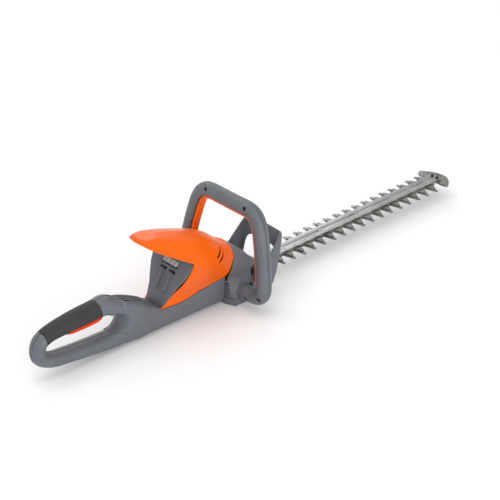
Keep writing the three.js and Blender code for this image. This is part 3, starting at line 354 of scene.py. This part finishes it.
def slab(points, right, left, name="cutter"):
    # a side view outline in x and z, run across from one y to another
    return prism([(x, right, z) for x, z in points], (0, left - right, 0), name)


def plate(points, low, high):
    # a plan outline in x and y, run up from one height to another
    return prism([(x, y, low) for x, y in points], (0, 0, high - low))


def turned(profile, steps):
    # a radius and place profile, spun about the y axis and closed at its ends
    bm = bmesh.new()
    verts = [bm.verts.new((0, place * mm, radius * mm)) for radius, place in profile]
    edges = [bm.edges.new(pair) for pair in zip(verts, verts[1:])]
    bmesh.ops.spin(bm, geom=verts + edges, cent=(0, 0, 0), axis=(0, 1, 0), angle=2 * math.pi, steps=steps,
                   use_merge=True)
    bmesh.ops.remove_doubles(bm, verts=bm.verts, dist=1e-6)
    bmesh.ops.holes_fill(bm, edges=[edge for edge in bm.edges if edge.is_boundary], sides=0)
    return bm


def block(low, high):
    bm = bmesh.new()
    bmesh.ops.create_cube(bm, size=1)
    for vert in bm.verts:
        vert.co = Vector([mm * (a + (b - a) * (c + 0.5)) for a, b, c in zip(low, high, vert.co)])
    return keep(bm, "cutter")


def bar(axis, radius, start, length, segments=32, name="cutter", narrow=None):
    bm = bmesh.new()
    bmesh.ops.create_cone(bm, cap_ends=True, segments=segments, radius1=radius * mm,
                          radius2=(radius if narrow is None else narrow) * mm, depth=length * mm)
    bmesh.ops.translate(bm, verts=bm.verts, vec=(0, 0, length * mm / 2))
    way = Vector(axis) if isinstance(axis, tuple) else Vector([float(axis == c) for c in "xyz"])
    bmesh.ops.transform(bm, matrix=way.to_track_quat("Z", "Y").to_matrix().to_4x4(), verts=bm.verts)
    bmesh.ops.translate(bm, verts=bm.verts, vec=Vector(start) * mm)
    return keep(bm, name)


def settle(obj):
    # bakes the modifiers into the mesh
    shown = obj.evaluated_get(bpy.context.evaluated_depsgraph_get())
    mesh = bpy.data.meshes.new_from_object(shown)
    obj.modifiers.clear()
    obj.data = mesh
    return obj


def carve(obj, mode, *tools):
    for tool in tools:
        change = obj.modifiers.new("carve", "BOOLEAN")
        change.operation = mode
        change.solver = "MANIFOLD"
        change.object = tool
        settle(obj)
        bpy.data.objects.remove(tool)
    return obj


def mould(obj, voxel, rounds):
    # rounds every edge as a moulded part's are
    remesh = obj.modifiers.new("remesh", "REMESH")
    remesh.mode = "VOXEL"
    remesh.voxel_size = voxel * mm
    smooth = obj.modifiers.new("smooth", "SMOOTH")
    smooth.factor = 0.5
    smooth.iterations = rounds
    settle(obj)
    return obj


def copyOf(obj, name):
    twin = obj.copy()
    twin.data = obj.data.copy()
    twin.name = name
    collection.objects.link(twin)
    return twin


def show(obj, name, slot, body, *replaced):
    obj.name = name
    obj.data.materials.clear()
    obj.data.materials.append(materials[slot])
    obj.data.shade_smooth()
    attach(obj, body)
    if replaced:
        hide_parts(*replaced)
    return obj


# ---- casing, rear handle and its soft sleeve

rear = {"windowFront": -243, "gripRear": -384, "gripFront": -289, "sleeveRear": -388, "sleeveFront": -291,
        "pinAhead": 36, "sleeve": 2.2, "wall": 2.8, "gap": 0.3, "triggerHalf": 7.2, "deckHalf": 3.4,
        "deckSpacing": 9, "rings": 72, "steps": 150, "voxel": 1.15, "soften": 5}
# ahead of the finger opening's front end, and z: the grooves in the deck behind the bay
deckGroove = [(-25, 98), (-19, 90.5), (-2, 82), (24, 69.5), (46, 57.5), (58, 51), (66, 62), (0, 112)]
finger = {"back": 19, "height": 47.5, "radius": 14.5, "flare": 8.5, "flareAt": 20, "half": 30, "steps": 24,
          "webRear": 23, "webFront": 11, "webHalf": 18.5, "webLow": 28, "webHigh": 68}
jointX, rimLean, rimBend = -44, 0.37, 53

# x, z, half width, half depth along the handle's centre line
handleLine = [(-208, 30, 21, 22), (-248, 17, 19, 16), (-293, 18.5, 18, 14), (-348, 24, 17, 12.4),
              (-379, 29, 16, 12.4), (-398.5, 41, 15.5, 12), (-400, 55, 15.2, 11.2), (-394.5, 67, 15.2, 11),
              (-381, 74.2, 15.2, 12), (-340, 79.5, 17, 14.5), (-287, 82, 18, 15.5), (-273, 82.5, 19, 16.6),
              (-243, 66, 21, 14), (-213, 48, 21, 14)]

# half outlines of the casing, each from its top centre to its bottom centre
casingStations = [
    (-245, [(0, 84), (13, 84), (19.5, 77), (20.5, 46), (19, 20), (14, 6), (8, 1.6), (0, 1.6)]),
    (-219, [(0, 71.5), (17, 71.5), (23, 65), (24, 43), (22, 18), (16, 4), (9, 0.8), (0, 0.8)]),
    (-197, [(0, 59.5), (17, 59.5), (22.5, 54), (23.5, 37), (22, 16), (16, 4), (9, 0.8), (0, 0.8)]),
    (-176, [(0, 47.5), (14, 47.5), (20.5, 46), (23, 32), (22, 15), (16, 4), (9, 0.8), (0, 0.8)]),
    (-148, [(0, 52), (14, 52), (24, 49), (25, 32), (23, 15), (17, 4), (9, 0.8), (0, 0.8)]),
    (-93, [(0, 58), (16, 58), (27, 53), (27, 34), (25, 15), (18, 4), (9, 0.8), (0, 0.8)]),
    (-38, [(0, 60), (16, 60), (29, 54), (27.5, 34), (26, 15), (20, 3), (9, 0.8), (0, 0.8)]),
]


def sweepHandle(name, inset):
    line = [Vector((x, 0, z)) for x, z, _, _ in handleLine]
    sizes = [Vector((width, depth, 0)) for _, _, width, depth in handleLine]

    def place(t, angle):
        centre = along(line, t)
        ahead = (along(line, min(t + 0.001, 1)) - along(line, max(t - 0.001, 0))).normalized()
        width, depth, _ = along(sizes, t)
        side = (width - inset) * math.sin(angle)
        up = (depth - inset) * math.cos(angle)
        return Vector((centre.x - ahead.z * up, side, centre.z + ahead.x * up))
    return tube(name, place, rear["rings"], rear["steps"])


def bodyLoft(name, stations, inset, rings, steps, relief=None):
    rails = [[Vector((x, half[row][0], half[row][1])) for x, half in stations]
             for row in range(len(stations[0][1]))]
    slices = {}

    def place(t, angle):
        if t not in slices:
            slices[t] = [along(rail, t) for rail in rails]
        points = slices[t]
        flat = [Vector((0, max(p.y, 0), p.z)) for p in points]
        top, bottom = flat[0].z, flat[-1].z
        middle = (top + bottom) / 2
        turn = angle if angle <= math.pi else 2 * math.pi - angle
        point = along(flat, turn / math.pi)
        widest = max(p.y for p in flat)
        thinner = max(1 - inset / max(widest, 1e-3), 0.02)
        lower = 1 - inset / ((top - bottom) / 2)
        side = 1 if angle <= math.pi else -1
        spot = Vector((points[0].x + inset * (1 - 2 * t), side * point.y * thinner,
                       middle + (point.z - middle) * lower))
        return spot if relief is None else relief(spot, t)
    return tube(name, place, rings, steps)


def casingTube(inset):
    # the handle's tube folds on itself in its tight bends, so a remesh makes one clean skin of it
    body = bodyLoft("body", casingStations, inset, rear["rings"], 60)
    handle = mould(sweepHandle("handle", inset), rear["voxel"], 0)
    return mould(carve(handle, "UNION", body), rear["voxel"], 2)


tuskTip = (-178, 43)
mouthCorner = (-127, 119)
beakSlope = 0.63


def smoothLine(points, count):
    line = [Vector((x, 0, z)) for x, z in points]
    return [(p.x, p.z) for p in (along(line, k / count) for k in range(count + 1))]


mouthCurve = smoothLine([mouthCorner, (-140, 88.5), (-158, 62), (-166, 53), tuskTip], 30)
seamCurve = smoothLine([tuskTip, (-140, 41.5), (-95, 49), (-60, 53), (jointX, 54)], 30)


def belowSeam(drop):
    top = [(x, z - drop) for x, z in seamCurve]
    return slab(top + [(jointX + 30, seamCurve[-1][1] - drop), (jointX + 30, -20), (-500, -20), (-500, 130),
                       (tuskTip[0] - 0.5, 130)], -70, 70)


def behindJoint(gap):
    lean = jointX - gap + rimLean * 140
    return slab([(-500, -20), (jointX - gap, -20), (jointX - gap, rimBend), (lean, rimBend + 140),
                 (-500, rimBend + 140)], -90, 90)


def gripWrap(out):
    return slab([(rear["sleeveRear"] - out, 60), (rear["sleeveFront"] + 6, 60),
                 (rear["sleeveFront"] + out, 112), (rear["sleeveRear"] - 8 + (0.4 - out), 112)], -40, 40)


def scoop():
    # the finger opening ends in a round cut that widens towards both sides
    places = [finger["half"] * (2 * step / finger["steps"] - 1) for step in range(finger["steps"] + 1)]
    radii = [finger["radius"] + finger["flare"] * (abs(y) / finger["flareAt"]) ** 2 for y in places]
    bm = turned(list(zip(radii, places)), 72)
    bmesh.ops.translate(bm, verts=bm.verts,
                        vec=((rear["windowFront"] - finger["back"]) * mm, 0, finger["height"] * mm))
    return keep(bm, "scoop")


def makeCasing():
    shell = casingTube(0)
    full = copyOf(shell, "full")
    ledge = casingTube(rear["sleeve"] + rear["gap"])
    pin, half = rear["gripRear"] + rear["pinAhead"], rear["triggerHalf"]
    slot = ((pin - 6, -half, 56), (rear["gripFront"] + 11, half, 80))
    seat = carve(carve(copyOf(full, "seat"), "DIFFERENCE", ledge), "INTERSECT", gripWrap(0.4))
    core = casingTube(rear["wall"] + rear["sleeve"])
    carve(shell, "DIFFERENCE", core, seat, block(*slot))
    run = rear["windowFront"]
    carve(shell, "UNION", block((run - finger["webRear"], -finger["webHalf"], finger["webLow"]),
                                (run + finger["webFront"], finger["webHalf"], finger["webHigh"])))
    carve(shell, "DIFFERENCE", scoop())
    groove = [(run + x, z) for x, z in deckGroove]
    for y in (-rear["deckSpacing"], 0, rear["deckSpacing"]):
        carve(shell, "DIFFERENCE", slab(groove, y - rear["deckHalf"], y + rear["deckHalf"]))
    carve(shell, "INTERSECT", belowSeam(rear["gap"]), behindJoint(rear["gap"]))
    for side, name in ((1, "casing_left"), (-1, "casing_right")):
        low, high = sorted((side * 0.12, side * 90))
        part = carve(copyOf(shell, name), "INTERSECT", block((-500, low, -30), (100, high, 220)))
        mould(part, rear["voxel"], rear["soften"])
        show(part, "shell_" + name, "casing", "housing", name)
    bpy.data.objects.remove(shell)
    sleeve = [(rear["sleeveRear"], 60), (rear["sleeveFront"] + 5.6, 60), (rear["sleeveFront"], 112),
              (rear["sleeveRear"] - 7.6, 112)]
    wrap = carve(full, "INTERSECT", slab(sleeve, -40, 40))
    carve(wrap, "DIFFERENCE", casingTube(rear["sleeve"]), block(*slot))
    mould(wrap, 0.8, 4)
    show(wrap, "soft_sleeve", "dark", "housing", "grip_sleeve")


makeCasing()
print("casing and sleeve are made")

# ---- hood over the battery bay

hood = {"wall": 2.8, "coreRear": -176, "voxel": 1.05, "soften": 8, "rings": 110, "steps": 120, "step": 0.9,
        "ridge": 0.75, "ridgeWidth": 1.7, "ridges": (6, -5.2, -16.4), "ridgeAt": (-76, 106.8),
        "ridgeSlope": 0.456}
hoodStations = [
    (-206, [(0, 168), (1, 167.5), (1.6, 166.5), (1.6, 156), (1, 110), (1, 60), (1, 44), (0, 30)]),
    (-204, [(0, 171), (8, 170), (14, 165), (15, 155), (10, 110), (8, 60), (8, 44), (0, 30)]),
    (-197, [(0, 174), (18, 171), (30, 161), (30, 149), (20, 110), (14, 60), (13, 44), (0, 30)]),
    (-181, [(0, 175.5), (24, 170), (42, 151), (42, 138), (30, 100), (21.5, 60), (20.5, 43), (0, 28)]),
    (-148, [(0, 167.5), (28, 160), (48, 131), (46.5, 112), (38, 82), (26, 55), (24.4, 42), (0, 28)]),
    (-113, [(0, 155.5), (28, 148), (49, 117), (46, 92), (34, 65), (27.4, 52), (26, 42), (0, 30)]),
    (-67, [(0, 137), (26, 130), (44.5, 104), (42, 84), (34, 64), (29.4, 53), (28, 44), (0, 34)]),
    (-44, [(0, 118.5), (23, 113), (38, 95), (38, 78), (34.5, 62), (30, 54), (29, 46), (0, 36)]),
    (-16, [(0, 103), (20, 99), (34, 86), (36, 74), (34.5, 62), (31, 54), (30, 46), (0, 36)]),
]


def stepped(value, low, high):
    share = max(0.0, min(1.0, (value - low) / (high - low)))
    return share * share * (3 - 2 * share)


def hoodRelief(spot, t):
    # the flank behind the beak stands a little inside it, and the front is stepped round the vents
    flank = stepped(spot.x, -124, -119) * (1 - stepped(spot.z, 118, 136)) * hood["step"]
    rise = spot.z - hood["ridgeAt"][1] - hood["ridgeSlope"] * (spot.x - hood["ridgeAt"][0])
    front = stepped(spot.x, -90, -80) * (1 - stepped(spot.x, -48, -38))
    steps = sum(math.exp(-((rise - place) / hood["ridgeWidth"]) ** 2) for place in hood["ridges"])
    push = flank - hood["ridge"] * front * steps
    middle = Vector((spot.x, 0, 90))
    away = spot - middle
    return spot - away.normalized() * push if abs(spot.y) > 8 else spot


def ventSlots():
    slots = []
    low = smoothLine([(-76, 106), (-65, 109), (-54.5, 115)], 12)
    high = smoothLine([(-54.5, 118.2), (-66, 112.2), (-76, 107.6)], 12)
    for ahead, drop in ((0, 0), (2, -9.5)):
        outline = [(x + ahead, z + drop) for x, z in low + high]
        slots += [slab(outline, -60, -20), slab(outline, 20, 60)]
    return slots


def makeHood():
    shell = bodyLoft("hood", hoodStations, 0, hood["rings"], hood["steps"], hoodRelief)
    mould(shell, hood["voxel"], 0)
    core = bodyLoft("core", hoodStations, hood["wall"], 60, 60)
    mould(core, 1.5, 0)
    carve(core, "INTERSECT", block((hood["coreRear"], -90, -20), (90, 90, 240)))
    far = -240
    mouth = slab(mouthCurve + [(tuskTip[0] - 40, tuskTip[1]),
                               (far, mouthCorner[1] + beakSlope * (mouthCorner[0] - far))], -70, 70)
    above = slab(seamCurve + [(60, seamCurve[-1][1]), (60, 230), (far, 230), (far, tuskTip[1])], -70, 70)
    rim = slab([(-260, -20), (jointX - 0.3, -20), (jointX - 0.3, rimBend),
                (jointX - 0.3 + rimLean * 120, rimBend + 120), (-260, rimBend + 120)], -90, 90)
    carve(shell, "DIFFERENCE", core, mouth, *ventSlots())
    carve(shell, "INTERSECT", above, rim)
    mould(shell, hood["voxel"], hood["soften"])
    show(shell, "hood_shell", "orange", "housing", "hood")


makeHood()
print("hood is made")

# ---- gearbox case

gearbox = {"base": 12.3, "wall": 3, "deck": 41, "padX": -22, "padZ": 27.5, "padRadius": 13, "padFace": 45,
           "boltRadius": 4.3, "pilot": 1.9, "pilotX": -2, "pilotZ": 22, "motorX": -16, "motorRadius": 22.9,
           "voxel": 1.1, "soften": 2}
gearboxNose = [(-10, -24), (36, -22), (42, -18), (42, 18), (36, 22), (-10, 24)]
gearboxStations = [
    (-50, [(0, 103), (20, 100), (35, 88), (37.5, 74), (36, 60), (34, 50),
           (38, 38), (40, 24), (34, 16), (0, 15)]),
    (-30, [(0, 102), (21, 99), (36, 88), (38.5, 74), (37.5, 60), (36, 50),
           (42, 38), (45, 26), (40, 16), (0, 15)]),
    (-12, [(0, 94), (24, 92), (38, 83), (41, 72), (41, 60), (40, 50),
           (43, 38), (45, 26), (40, 16), (0, 15)]),
    (0, [(0, 86), (24, 85), (38, 78), (41, 70), (41.5, 60), (41, 50),
           (43, 38), (45, 26), (40, 16), (0, 15)]),
    (8, [(0, 76), (20, 75), (32, 69), (34, 62), (34, 54), (34, 46),
           (35, 38), (36, 26), (32, 16), (0, 15)]),
]
footPlan = [(jointX, 26), (jointX, -26), (-36, -45), (4, -45), (14, -30), (38, -27), (42, -23), (42, 23),
            (38, 27), (14, 30), (4, 45), (-36, 45)]


screwReach = (36, -60)  # where the holes through each side begin, each 24 long


def guardPilot(start):
    # the hole that a guard screw passes through, in the guard and in the case
    return bar("y", gearbox["pilot"], (gearbox["pilotX"], start, gearbox["pilotZ"]), 24)


def makeGearbox():
    case = bodyLoft("case", gearboxStations, 0, 96, 60)
    padX, padZ, face = gearbox["padX"], gearbox["padZ"], gearbox["padFace"]
    carve(case, "UNION", plate(footPlan, gearbox["base"], 31), plate(gearboxNose, 30, 47))
    for start in (face - 15, -face):
        carve(case, "UNION", bar("y", gearbox["padRadius"], (padX, start, padZ), 15, 48))
    rearFace = [(jointX + 0.15, -20), (200, -20), (200, 200), (jointX + 0.15 + rimLean * 147, 200),
                (jointX + 0.15, rimBend)]
    carve(case, "INTERSECT", slab(rearFace, -120, 120))
    deck = gearbox["deck"]
    room = bodyLoft("room", gearboxStations, gearbox["wall"], 60, 40)
    carve(room, "INTERSECT", block((-60, -60, deck - 0.3), (60, 60, 120)))
    carve(case, "DIFFERENCE", room, block((-46, -23, 0), (24, 23, deck)),
          block((18, -14, 27.5), (60, 14, 37.6)),
          bar("z", gearbox["motorRadius"], (gearbox["motorX"], 0, deck), 16, 48),
          block((-60, -60, 0), (60, 60, gearbox["base"])))
    for start in screwReach:
        carve(case, "DIFFERENCE", bar("y", gearbox["boltRadius"], (padX, start, padZ), 24))
    for start in screwReach:
        carve(case, "DIFFERENCE", guardPilot(start))
    mould(case, gearbox["voxel"], gearbox["soften"])
    show(case, "gearbox_shell", "casing", "housing", "gearbox_case")


makeGearbox()
print("gearbox is made")

# ---- front loop handle

loop = {"tube": 13, "hollow": 10.4, "top": 175.5, "topX": -8, "footX": -22, "foot": 27.5, "knee": 51,
        "bailWide": 7.4, "bailProud": 2, "bailBack": -9, "bailEdge": 2.4, "slotHalf": 8.3, "screwOut": 4.2,
        "pilot": 1.9, "steps": 260, "voxel": 0.95, "soften": 5}
loopSide = [(55, 27.5), (72, 27.5), (88, 32), (96.5, 41.5), (98.3, 56.5), (92.5, 92), (84, 128), (78, 148),
            (70, 163.5), (58, 172.9), (44, 175.5), (20, 175.5)]


def makeLoopPath():
    points = []
    for y, z in loopSide:
        share = (loop["top"] - max(z, loop["knee"])) / (loop["top"] - loop["knee"])
        points.append(Vector((loop["topX"] - (loop["topX"] - loop["footX"]) * share, y, z)))
    points += [Vector((p.x, -p.y, p.z)) for p in reversed(points)]
    fine = [along(points, k / 1600) for k in range(1601)]
    run = [0.0]
    for a, b in zip(fine, fine[1:]):
        run.append(run[-1] + (b - a).length)
    return fine, run


loopPoints, loopRun = makeLoopPath()
loopLength = loopRun[-1]


def loopFrame(reach):
    # the place on the loop's centre line at a length from its left foot, with its ways out
    reach = max(0.0, min(loopLength, reach))
    low, high = 0, len(loopRun) - 1
    while high - low > 1:
        half = (low + high) // 2
        low, high = (half, high) if loopRun[half] <= reach else (low, half)
    share = (reach - loopRun[low]) / (loopRun[high] - loopRun[low])
    origin = loopPoints[low].lerp(loopPoints[high], share)
    ahead = (loopPoints[min(high + 3, len(loopRun) - 1)] - loopPoints[max(low - 3, 0)]).normalized()
    front = (Vector((1, 0, 0)) - ahead * ahead.x).normalized()
    return origin, front, ahead.cross(front), ahead


def alongLoop(name, section, start, stop):
    # a closed section, forward and outward, carried along the loop
    count = len(section)

    def place(t, angle):
        origin, front, outward, _ = loopFrame(start + (stop - start) * t)
        index = round(angle / (2 * math.pi) * count) % count
        return origin + front * section[index][0] + outward * section[index][1]
    return tube(name, place, count, loop["steps"])


def onLoop(obj, reach, out):
    origin, front, outward, ahead = loopFrame(reach)
    turn = Matrix((front, outward, ahead)).transposed().to_4x4()
    obj.data.transform(Matrix.Translation((origin + outward * out) * mm) @ turn)
    return obj


def halfRing(side):
    def arc(radius, count):
        angles = [-math.pi / 2 + math.pi * k / count for k in range(count + 1)]
        return [(side * max(radius * math.cos(a), 0.12), radius * math.sin(a)) for a in angles]
    return arc(loop["tube"], 32) + arc(loop["hollow"], 20)[::-1]


loopScrewPlaces = [reach for near in (11, 42, loopLength / 2 - 47.3) for reach in (near, loopLength - near)]
bailStart = 62


def makeLoop():
    back, wide, tubeSize, proud = loop["bailBack"], loop["bailWide"], loop["tube"], loop["bailProud"]
    edge, out, half, pilot = loop["bailEdge"], loop["screwOut"], loop["slotHalf"], loop["pilot"]
    nose = [(-wide, back), (-wide, -tubeSize + 0.2), (-wide + edge * 0.35, -tubeSize - proud * 0.7),
            (-wide + edge, -tubeSize - proud), (0, -tubeSize - proud - 0.25)]
    section = nose + [(-x, z) for x, z in reversed(nose[:-1])]
    bail = alongLoop("bail", section, bailStart, loopLength - bailStart)
    mould(bail, 0.8, 4)
    show(bail, "bail_bar", "orange", "switch_bail", "switch_bail")
    slot = [(-half, -5.2), (-half, -26), (half, -26), (half, -5.2)]
    for side, name in ((1, "loop_front_shell"), (-1, "loop_rear_shell")):
        shell = alongLoop(name, halfRing(side), 0, loopLength)
        for reach in loopScrewPlaces:
            if side > 0:
                carve(shell, "UNION", onLoop(bar("x", 4.4, (0.15, 0, 0), 8.2), reach, out))
                carve(shell, "DIFFERENCE", onLoop(bar("x", pilot, (-1, 0, 0), 8.6), reach, out))
            else:
                carve(shell, "UNION", onLoop(bar("x", 4.9, (-8.4, 0, 0), 8.25), reach, out))
                carve(shell, "DIFFERENCE", onLoop(bar("x", 3.6, (-16, 0, 0), 9.4), reach, out),
                      onLoop(bar("x", pilot, (-8, 0, 0), 9), reach, out))
        carve(shell, "DIFFERENCE", alongLoop("slot", slot, bailStart - 1.5, loopLength - bailStart + 1.5))
        for y in (50, -65):
            carve(shell, "DIFFERENCE", bar("y", 9.5, (loop["footX"], y, loop["foot"]), 15, 40))
        mould(shell, loop["voxel"], loop["soften"])
        show(shell, "shell_" + name, "casing", "housing", name)


makeLoop()
print("front handle is made")

# ---- hand guard

guard = {"thick": 3.5, "across": 120, "up": 90, "fold": 0.66, "lugIn": 45.3, "lugOut": 50.5, "voxel": 1.1,
         "soften": 5}
guardArch = [(38, 5), (38, 54), (36, 64), (31, 70), (24, 72.5)]  # y, z up one side of the window
# z, front x, half width, rear x, half width at the rear edge
guardRise = [(14, 45, 48, -5, 50.6), (32, 53, 47.4, -4, 50.6), (38, 55, 47, 10, 50.6),
             (53, 59, 46.4, 25, 50),
             (75, 64.5, 45.4, 44, 47), (95, 69, 43.4, 61, 43.5), (102, 70.5, 40, 68, 40.5)]


def guardPoint(u, v):
    corner = along([Vector((front, half, z)) for z, front, half, _, _ in guardRise], v)
    edge = along([Vector((back, out, z)) for z, _, _, back, out in guardRise], v)
    side, reach, fold = (1 if u >= 0 else -1), abs(u), guard["fold"]
    if reach <= fold:
        return Vector((corner.x + 2 * (1 - (reach / fold) ** 2), side * corner.y * reach / fold, corner.z))
    share = (reach - fold) / (1 - fold)
    spot = corner.lerp(edge, share)
    return Vector((spot.x, side * spot.y, spot.z))


def makeGuard():
    bm = bmesh.new()
    bmesh.ops.create_grid(bm, x_segments=guard["across"], y_segments=guard["up"], size=1)
    for vert in bm.verts:
        vert.co = guardPoint(vert.co.x, vert.co.y / 2 + 0.5) * mm
    sheet = keep(bm, "guard")
    thick = sheet.modifiers.new("thick", "SOLIDIFY")
    thick.thickness = guard["thick"] * mm
    thick.offset = 0
    settle(sheet)
    window = [(-y, z) for y, z in guardArch] + guardArch[::-1]
    carve(sheet, "DIFFERENCE", prism([(20, y, z) for y, z in window], (90, 0, 0)))
    for inner, outer in ((guard["lugIn"], guard["lugOut"]), (-guard["lugOut"], -guard["lugIn"])):
        carve(sheet, "UNION", block((-6.4, inner, 15), (3, outer, 25)))
    for start in screwReach:
        carve(sheet, "DIFFERENCE", guardPilot(start))
    mould(sheet, guard["voxel"], guard["soften"])
    show(sheet, "guard_shield", "casing", "housing", "hand_guard")


makeGuard()
print("hand guard is made")

# ---- trigger, screws and bushings


def makeTrigger():
    pin, front = rear["gripRear"] + rear["pinAhead"], rear["gripFront"]
    low = smoothLine([(pin - 4, 66), (pin + 2, 62), (pin + 28, 59.5), (front + 3, 61), (front + 9, 64)], 24)
    blade = slab(low + [(front + 9, 73), (pin + 20, 73), (pin, 75), (pin - 4.5, 72)], -6.5, 6.5, "trigger")
    carve(blade, "DIFFERENCE", bar("y", 1.9, (pin, -10, 72), 20))
    mould(blade, 0.55, 8)
    show(blade, "finger_trigger", "trigger", "rear_trigger", "rear_trigger")


screw = {"head": 3.2, "tall": 2.4, "crown": 0.35, "shank": 1.7, "socket": 1.5, "socketDeep": 1.6}


def makeScrew(seat, facing, length):
    # a domed head on a plain shank, with a six-sided socket
    head, tall = screw["head"], screw["tall"]
    body = bar(facing, head, seat, tall, 40, "screw", head - screw["crown"])
    back = tuple(-c for c in facing)
    carve(body, "UNION", bar(back, screw["shank"], seat, length - 1, 24))
    top = tuple(s + f * (tall + 0.5) for s, f in zip(seat, facing))
    carve(body, "DIFFERENCE", bar(back, screw["socket"], top, screw["socketDeep"] + 0.5, 6))
    return body


def makeFixings():
    for index, reach in enumerate(loopScrewPlaces):
        piece = onLoop(makeScrew((-6.9, 0, 0), (-1, 0, 0), 13), reach, loop["screwOut"])
        show(piece, f"loop_fixing_{index + 1}", "fixing", "housing", f"loop_screw_{index + 1}")
    spots = {"bar_screw": ((32, 0, 47.3), (0, 0, 1), 12),
             "guard_screw_left": ((gearbox["pilotX"], 52.8, gearbox["pilotZ"]), (0, 1, 0), 15),
             "guard_screw_right": ((gearbox["pilotX"], -52.8, gearbox["pilotZ"]), (0, -1, 0), 15)}
    for index, (x, y) in enumerate([(-30, 33), (-30, -33), (30, 19.5), (30, -19.5)]):
        spots[f"base_screw_{index + 1}"] = ((x, y, 3), (0, 0, -1), 19)
    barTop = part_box("guide_bar")[1][2] / mm
    for index, y in enumerate((6, -6)):
        spots[f"tip_screw_{index + 1}"] = ((519, y, barTop + 0.3), (0, 0, 1), 7.6)
    for name, (seat, facing, length) in spots.items():
        show(makeScrew(seat, facing, length), "fixing_" + name, "fixing", "housing", name)


# radius and depth of a bushing, from its stud in the gearbox to its plug in the loop
bushingProfile = [(0, -8), (4, -8), (4, 0.3), (11.4, 0.3), (12, 0.9), (12, 3), (11.2, 3.4), (11.2, 4.4),
                  (12, 4.8), (12, 8.8), (11.4, 9.4), (9.2, 9.4), (9.2, 14.9), (0, 14.9)]


def makeBushing(name, side):
    bm = turned(bushingProfile, 64)
    if side < 0:
        bmesh.ops.scale(bm, verts=bm.verts, vec=(1, -1, 1))
    bmesh.ops.translate(bm, verts=bm.verts,
                        vec=(loop["footX"] * mm, side * gearbox["padFace"] * mm, loop["foot"] * mm))
    piece = keep(bm, "bushing")
    show(piece, "damper_" + name, "casing", "housing", "bushing_" + name)
    piece.data.set_sharp_from_angle(angle=math.radians(35))


makeTrigger()
makeFixings()
makeBushing("left", 1)
makeBushing("right", -1)
print("trigger, screws and bushings are made")

# ---- flat parts keep their shape and get worked edges

workedEdges = {
    "guide_bar": 0.45, "lower_blade": 0.35, "upper_blade": 0.35, "tip_guard": 0.5, "bay_panel": 0.5,
    "latch_plate": 0.5, "bay_ceiling": 0.5, "terminal_block": 0.35, "contact_negative": 0.15,
    "contact_data": 0.15, "contact_positive": 0.15, "gearbox_base": 0.8, "controller_board": 0.2,
    "crank_gear": 0.2, "idler_gear": 0.2, "motor_pinion": 0.15, "gear_plate": 0.3}
panelSeat = {"side": 3.6, "down": 3.5, "middle": 10, "foot": 4, "widest": 0.45, "spread": 0.35}


def seatPanel(bm):
    # the facing runs on into the hood's walls and the deck, so no gap shows round it
    points = [vert.co for vert in bm.verts]
    low = min(points, key=lambda co: co.z)
    high = max(points, key=lambda co: co.z)
    down = (Vector((low.x, 0, low.z)) - Vector((high.x, 0, high.z))).normalized()
    foot = low.z + panelSeat["foot"] * mm
    for vert in bm.verts:
        if vert.co.z < foot:
            vert.co += down * panelSeat["down"] * mm
        share = (vert.co.z - foot) / (high.z - foot)
        side = panelSeat["side"] * math.exp(-((share - panelSeat["widest"]) / panelSeat["spread"]) ** 2)
        if abs(vert.co.y) > panelSeat["middle"] * mm:
            vert.co.y += math.copysign(side * mm, vert.co.y)


def workEdges(name, width):
    bm = bmesh.new()
    bm.from_mesh(nodes[name].data)
    bmesh.ops.remove_doubles(bm, verts=bm.verts, dist=2e-5)
    bmesh.ops.dissolve_limit(bm, angle_limit=math.radians(1.5), verts=bm.verts, edges=bm.edges)
    if name == "bay_panel":
        seatPanel(bm)
    sharp = [edge for edge in bm.edges if len(edge.link_faces) == 2 and edge.calc_face_angle(0) > 0.45]
    bmesh.ops.bevel(bm, geom=sharp, offset=width * mm, affect="EDGES", segments=2, profile=0.5, material=-1,
                    clamp_overlap=True)
    bmesh.ops.triangulate(bm, faces=bm.faces)
    piece = keep(bm, name)
    show(piece, "worked_" + name, slotOf[name], bodyOf[name], name)
    piece.data.set_sharp_from_angle(angle=math.radians(30))


for name, width in workedEdges.items():
    workEdges(name, width)
print("flat parts are worked")

# ---- springs, copied from their parts; the share of length left after the travel is worked out but not used, so they keep their length


def makeSpring(name, travel):
    piece = copyOf(nodes[name], name)
    show(piece, "coil_" + name, slotOf[name], bodyOf[name], name)
    piece.data.set_sharp_from_angle(angle=math.radians(40))
    low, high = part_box(name)
    length = high[2] - low[2]
    (length - travel) / length
    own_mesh(piece)


joints = {joint["name"]: joint for joint in frame["record"]["behaviour"]["joints"]}
pull, squeeze = joints["trigger_pull"], joints["bail_squeeze"]
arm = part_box("trigger_spring")[1][0] - pull["pos_m"][0]
makeSpring("trigger_spring", arm * math.tan(math.radians(pull["range_deg"][1])))
for side in ("left", "right"):
    makeSpring("bail_spring_" + side, squeeze["range_m"][1] * squeeze["axis"][2])
print("springs are made")
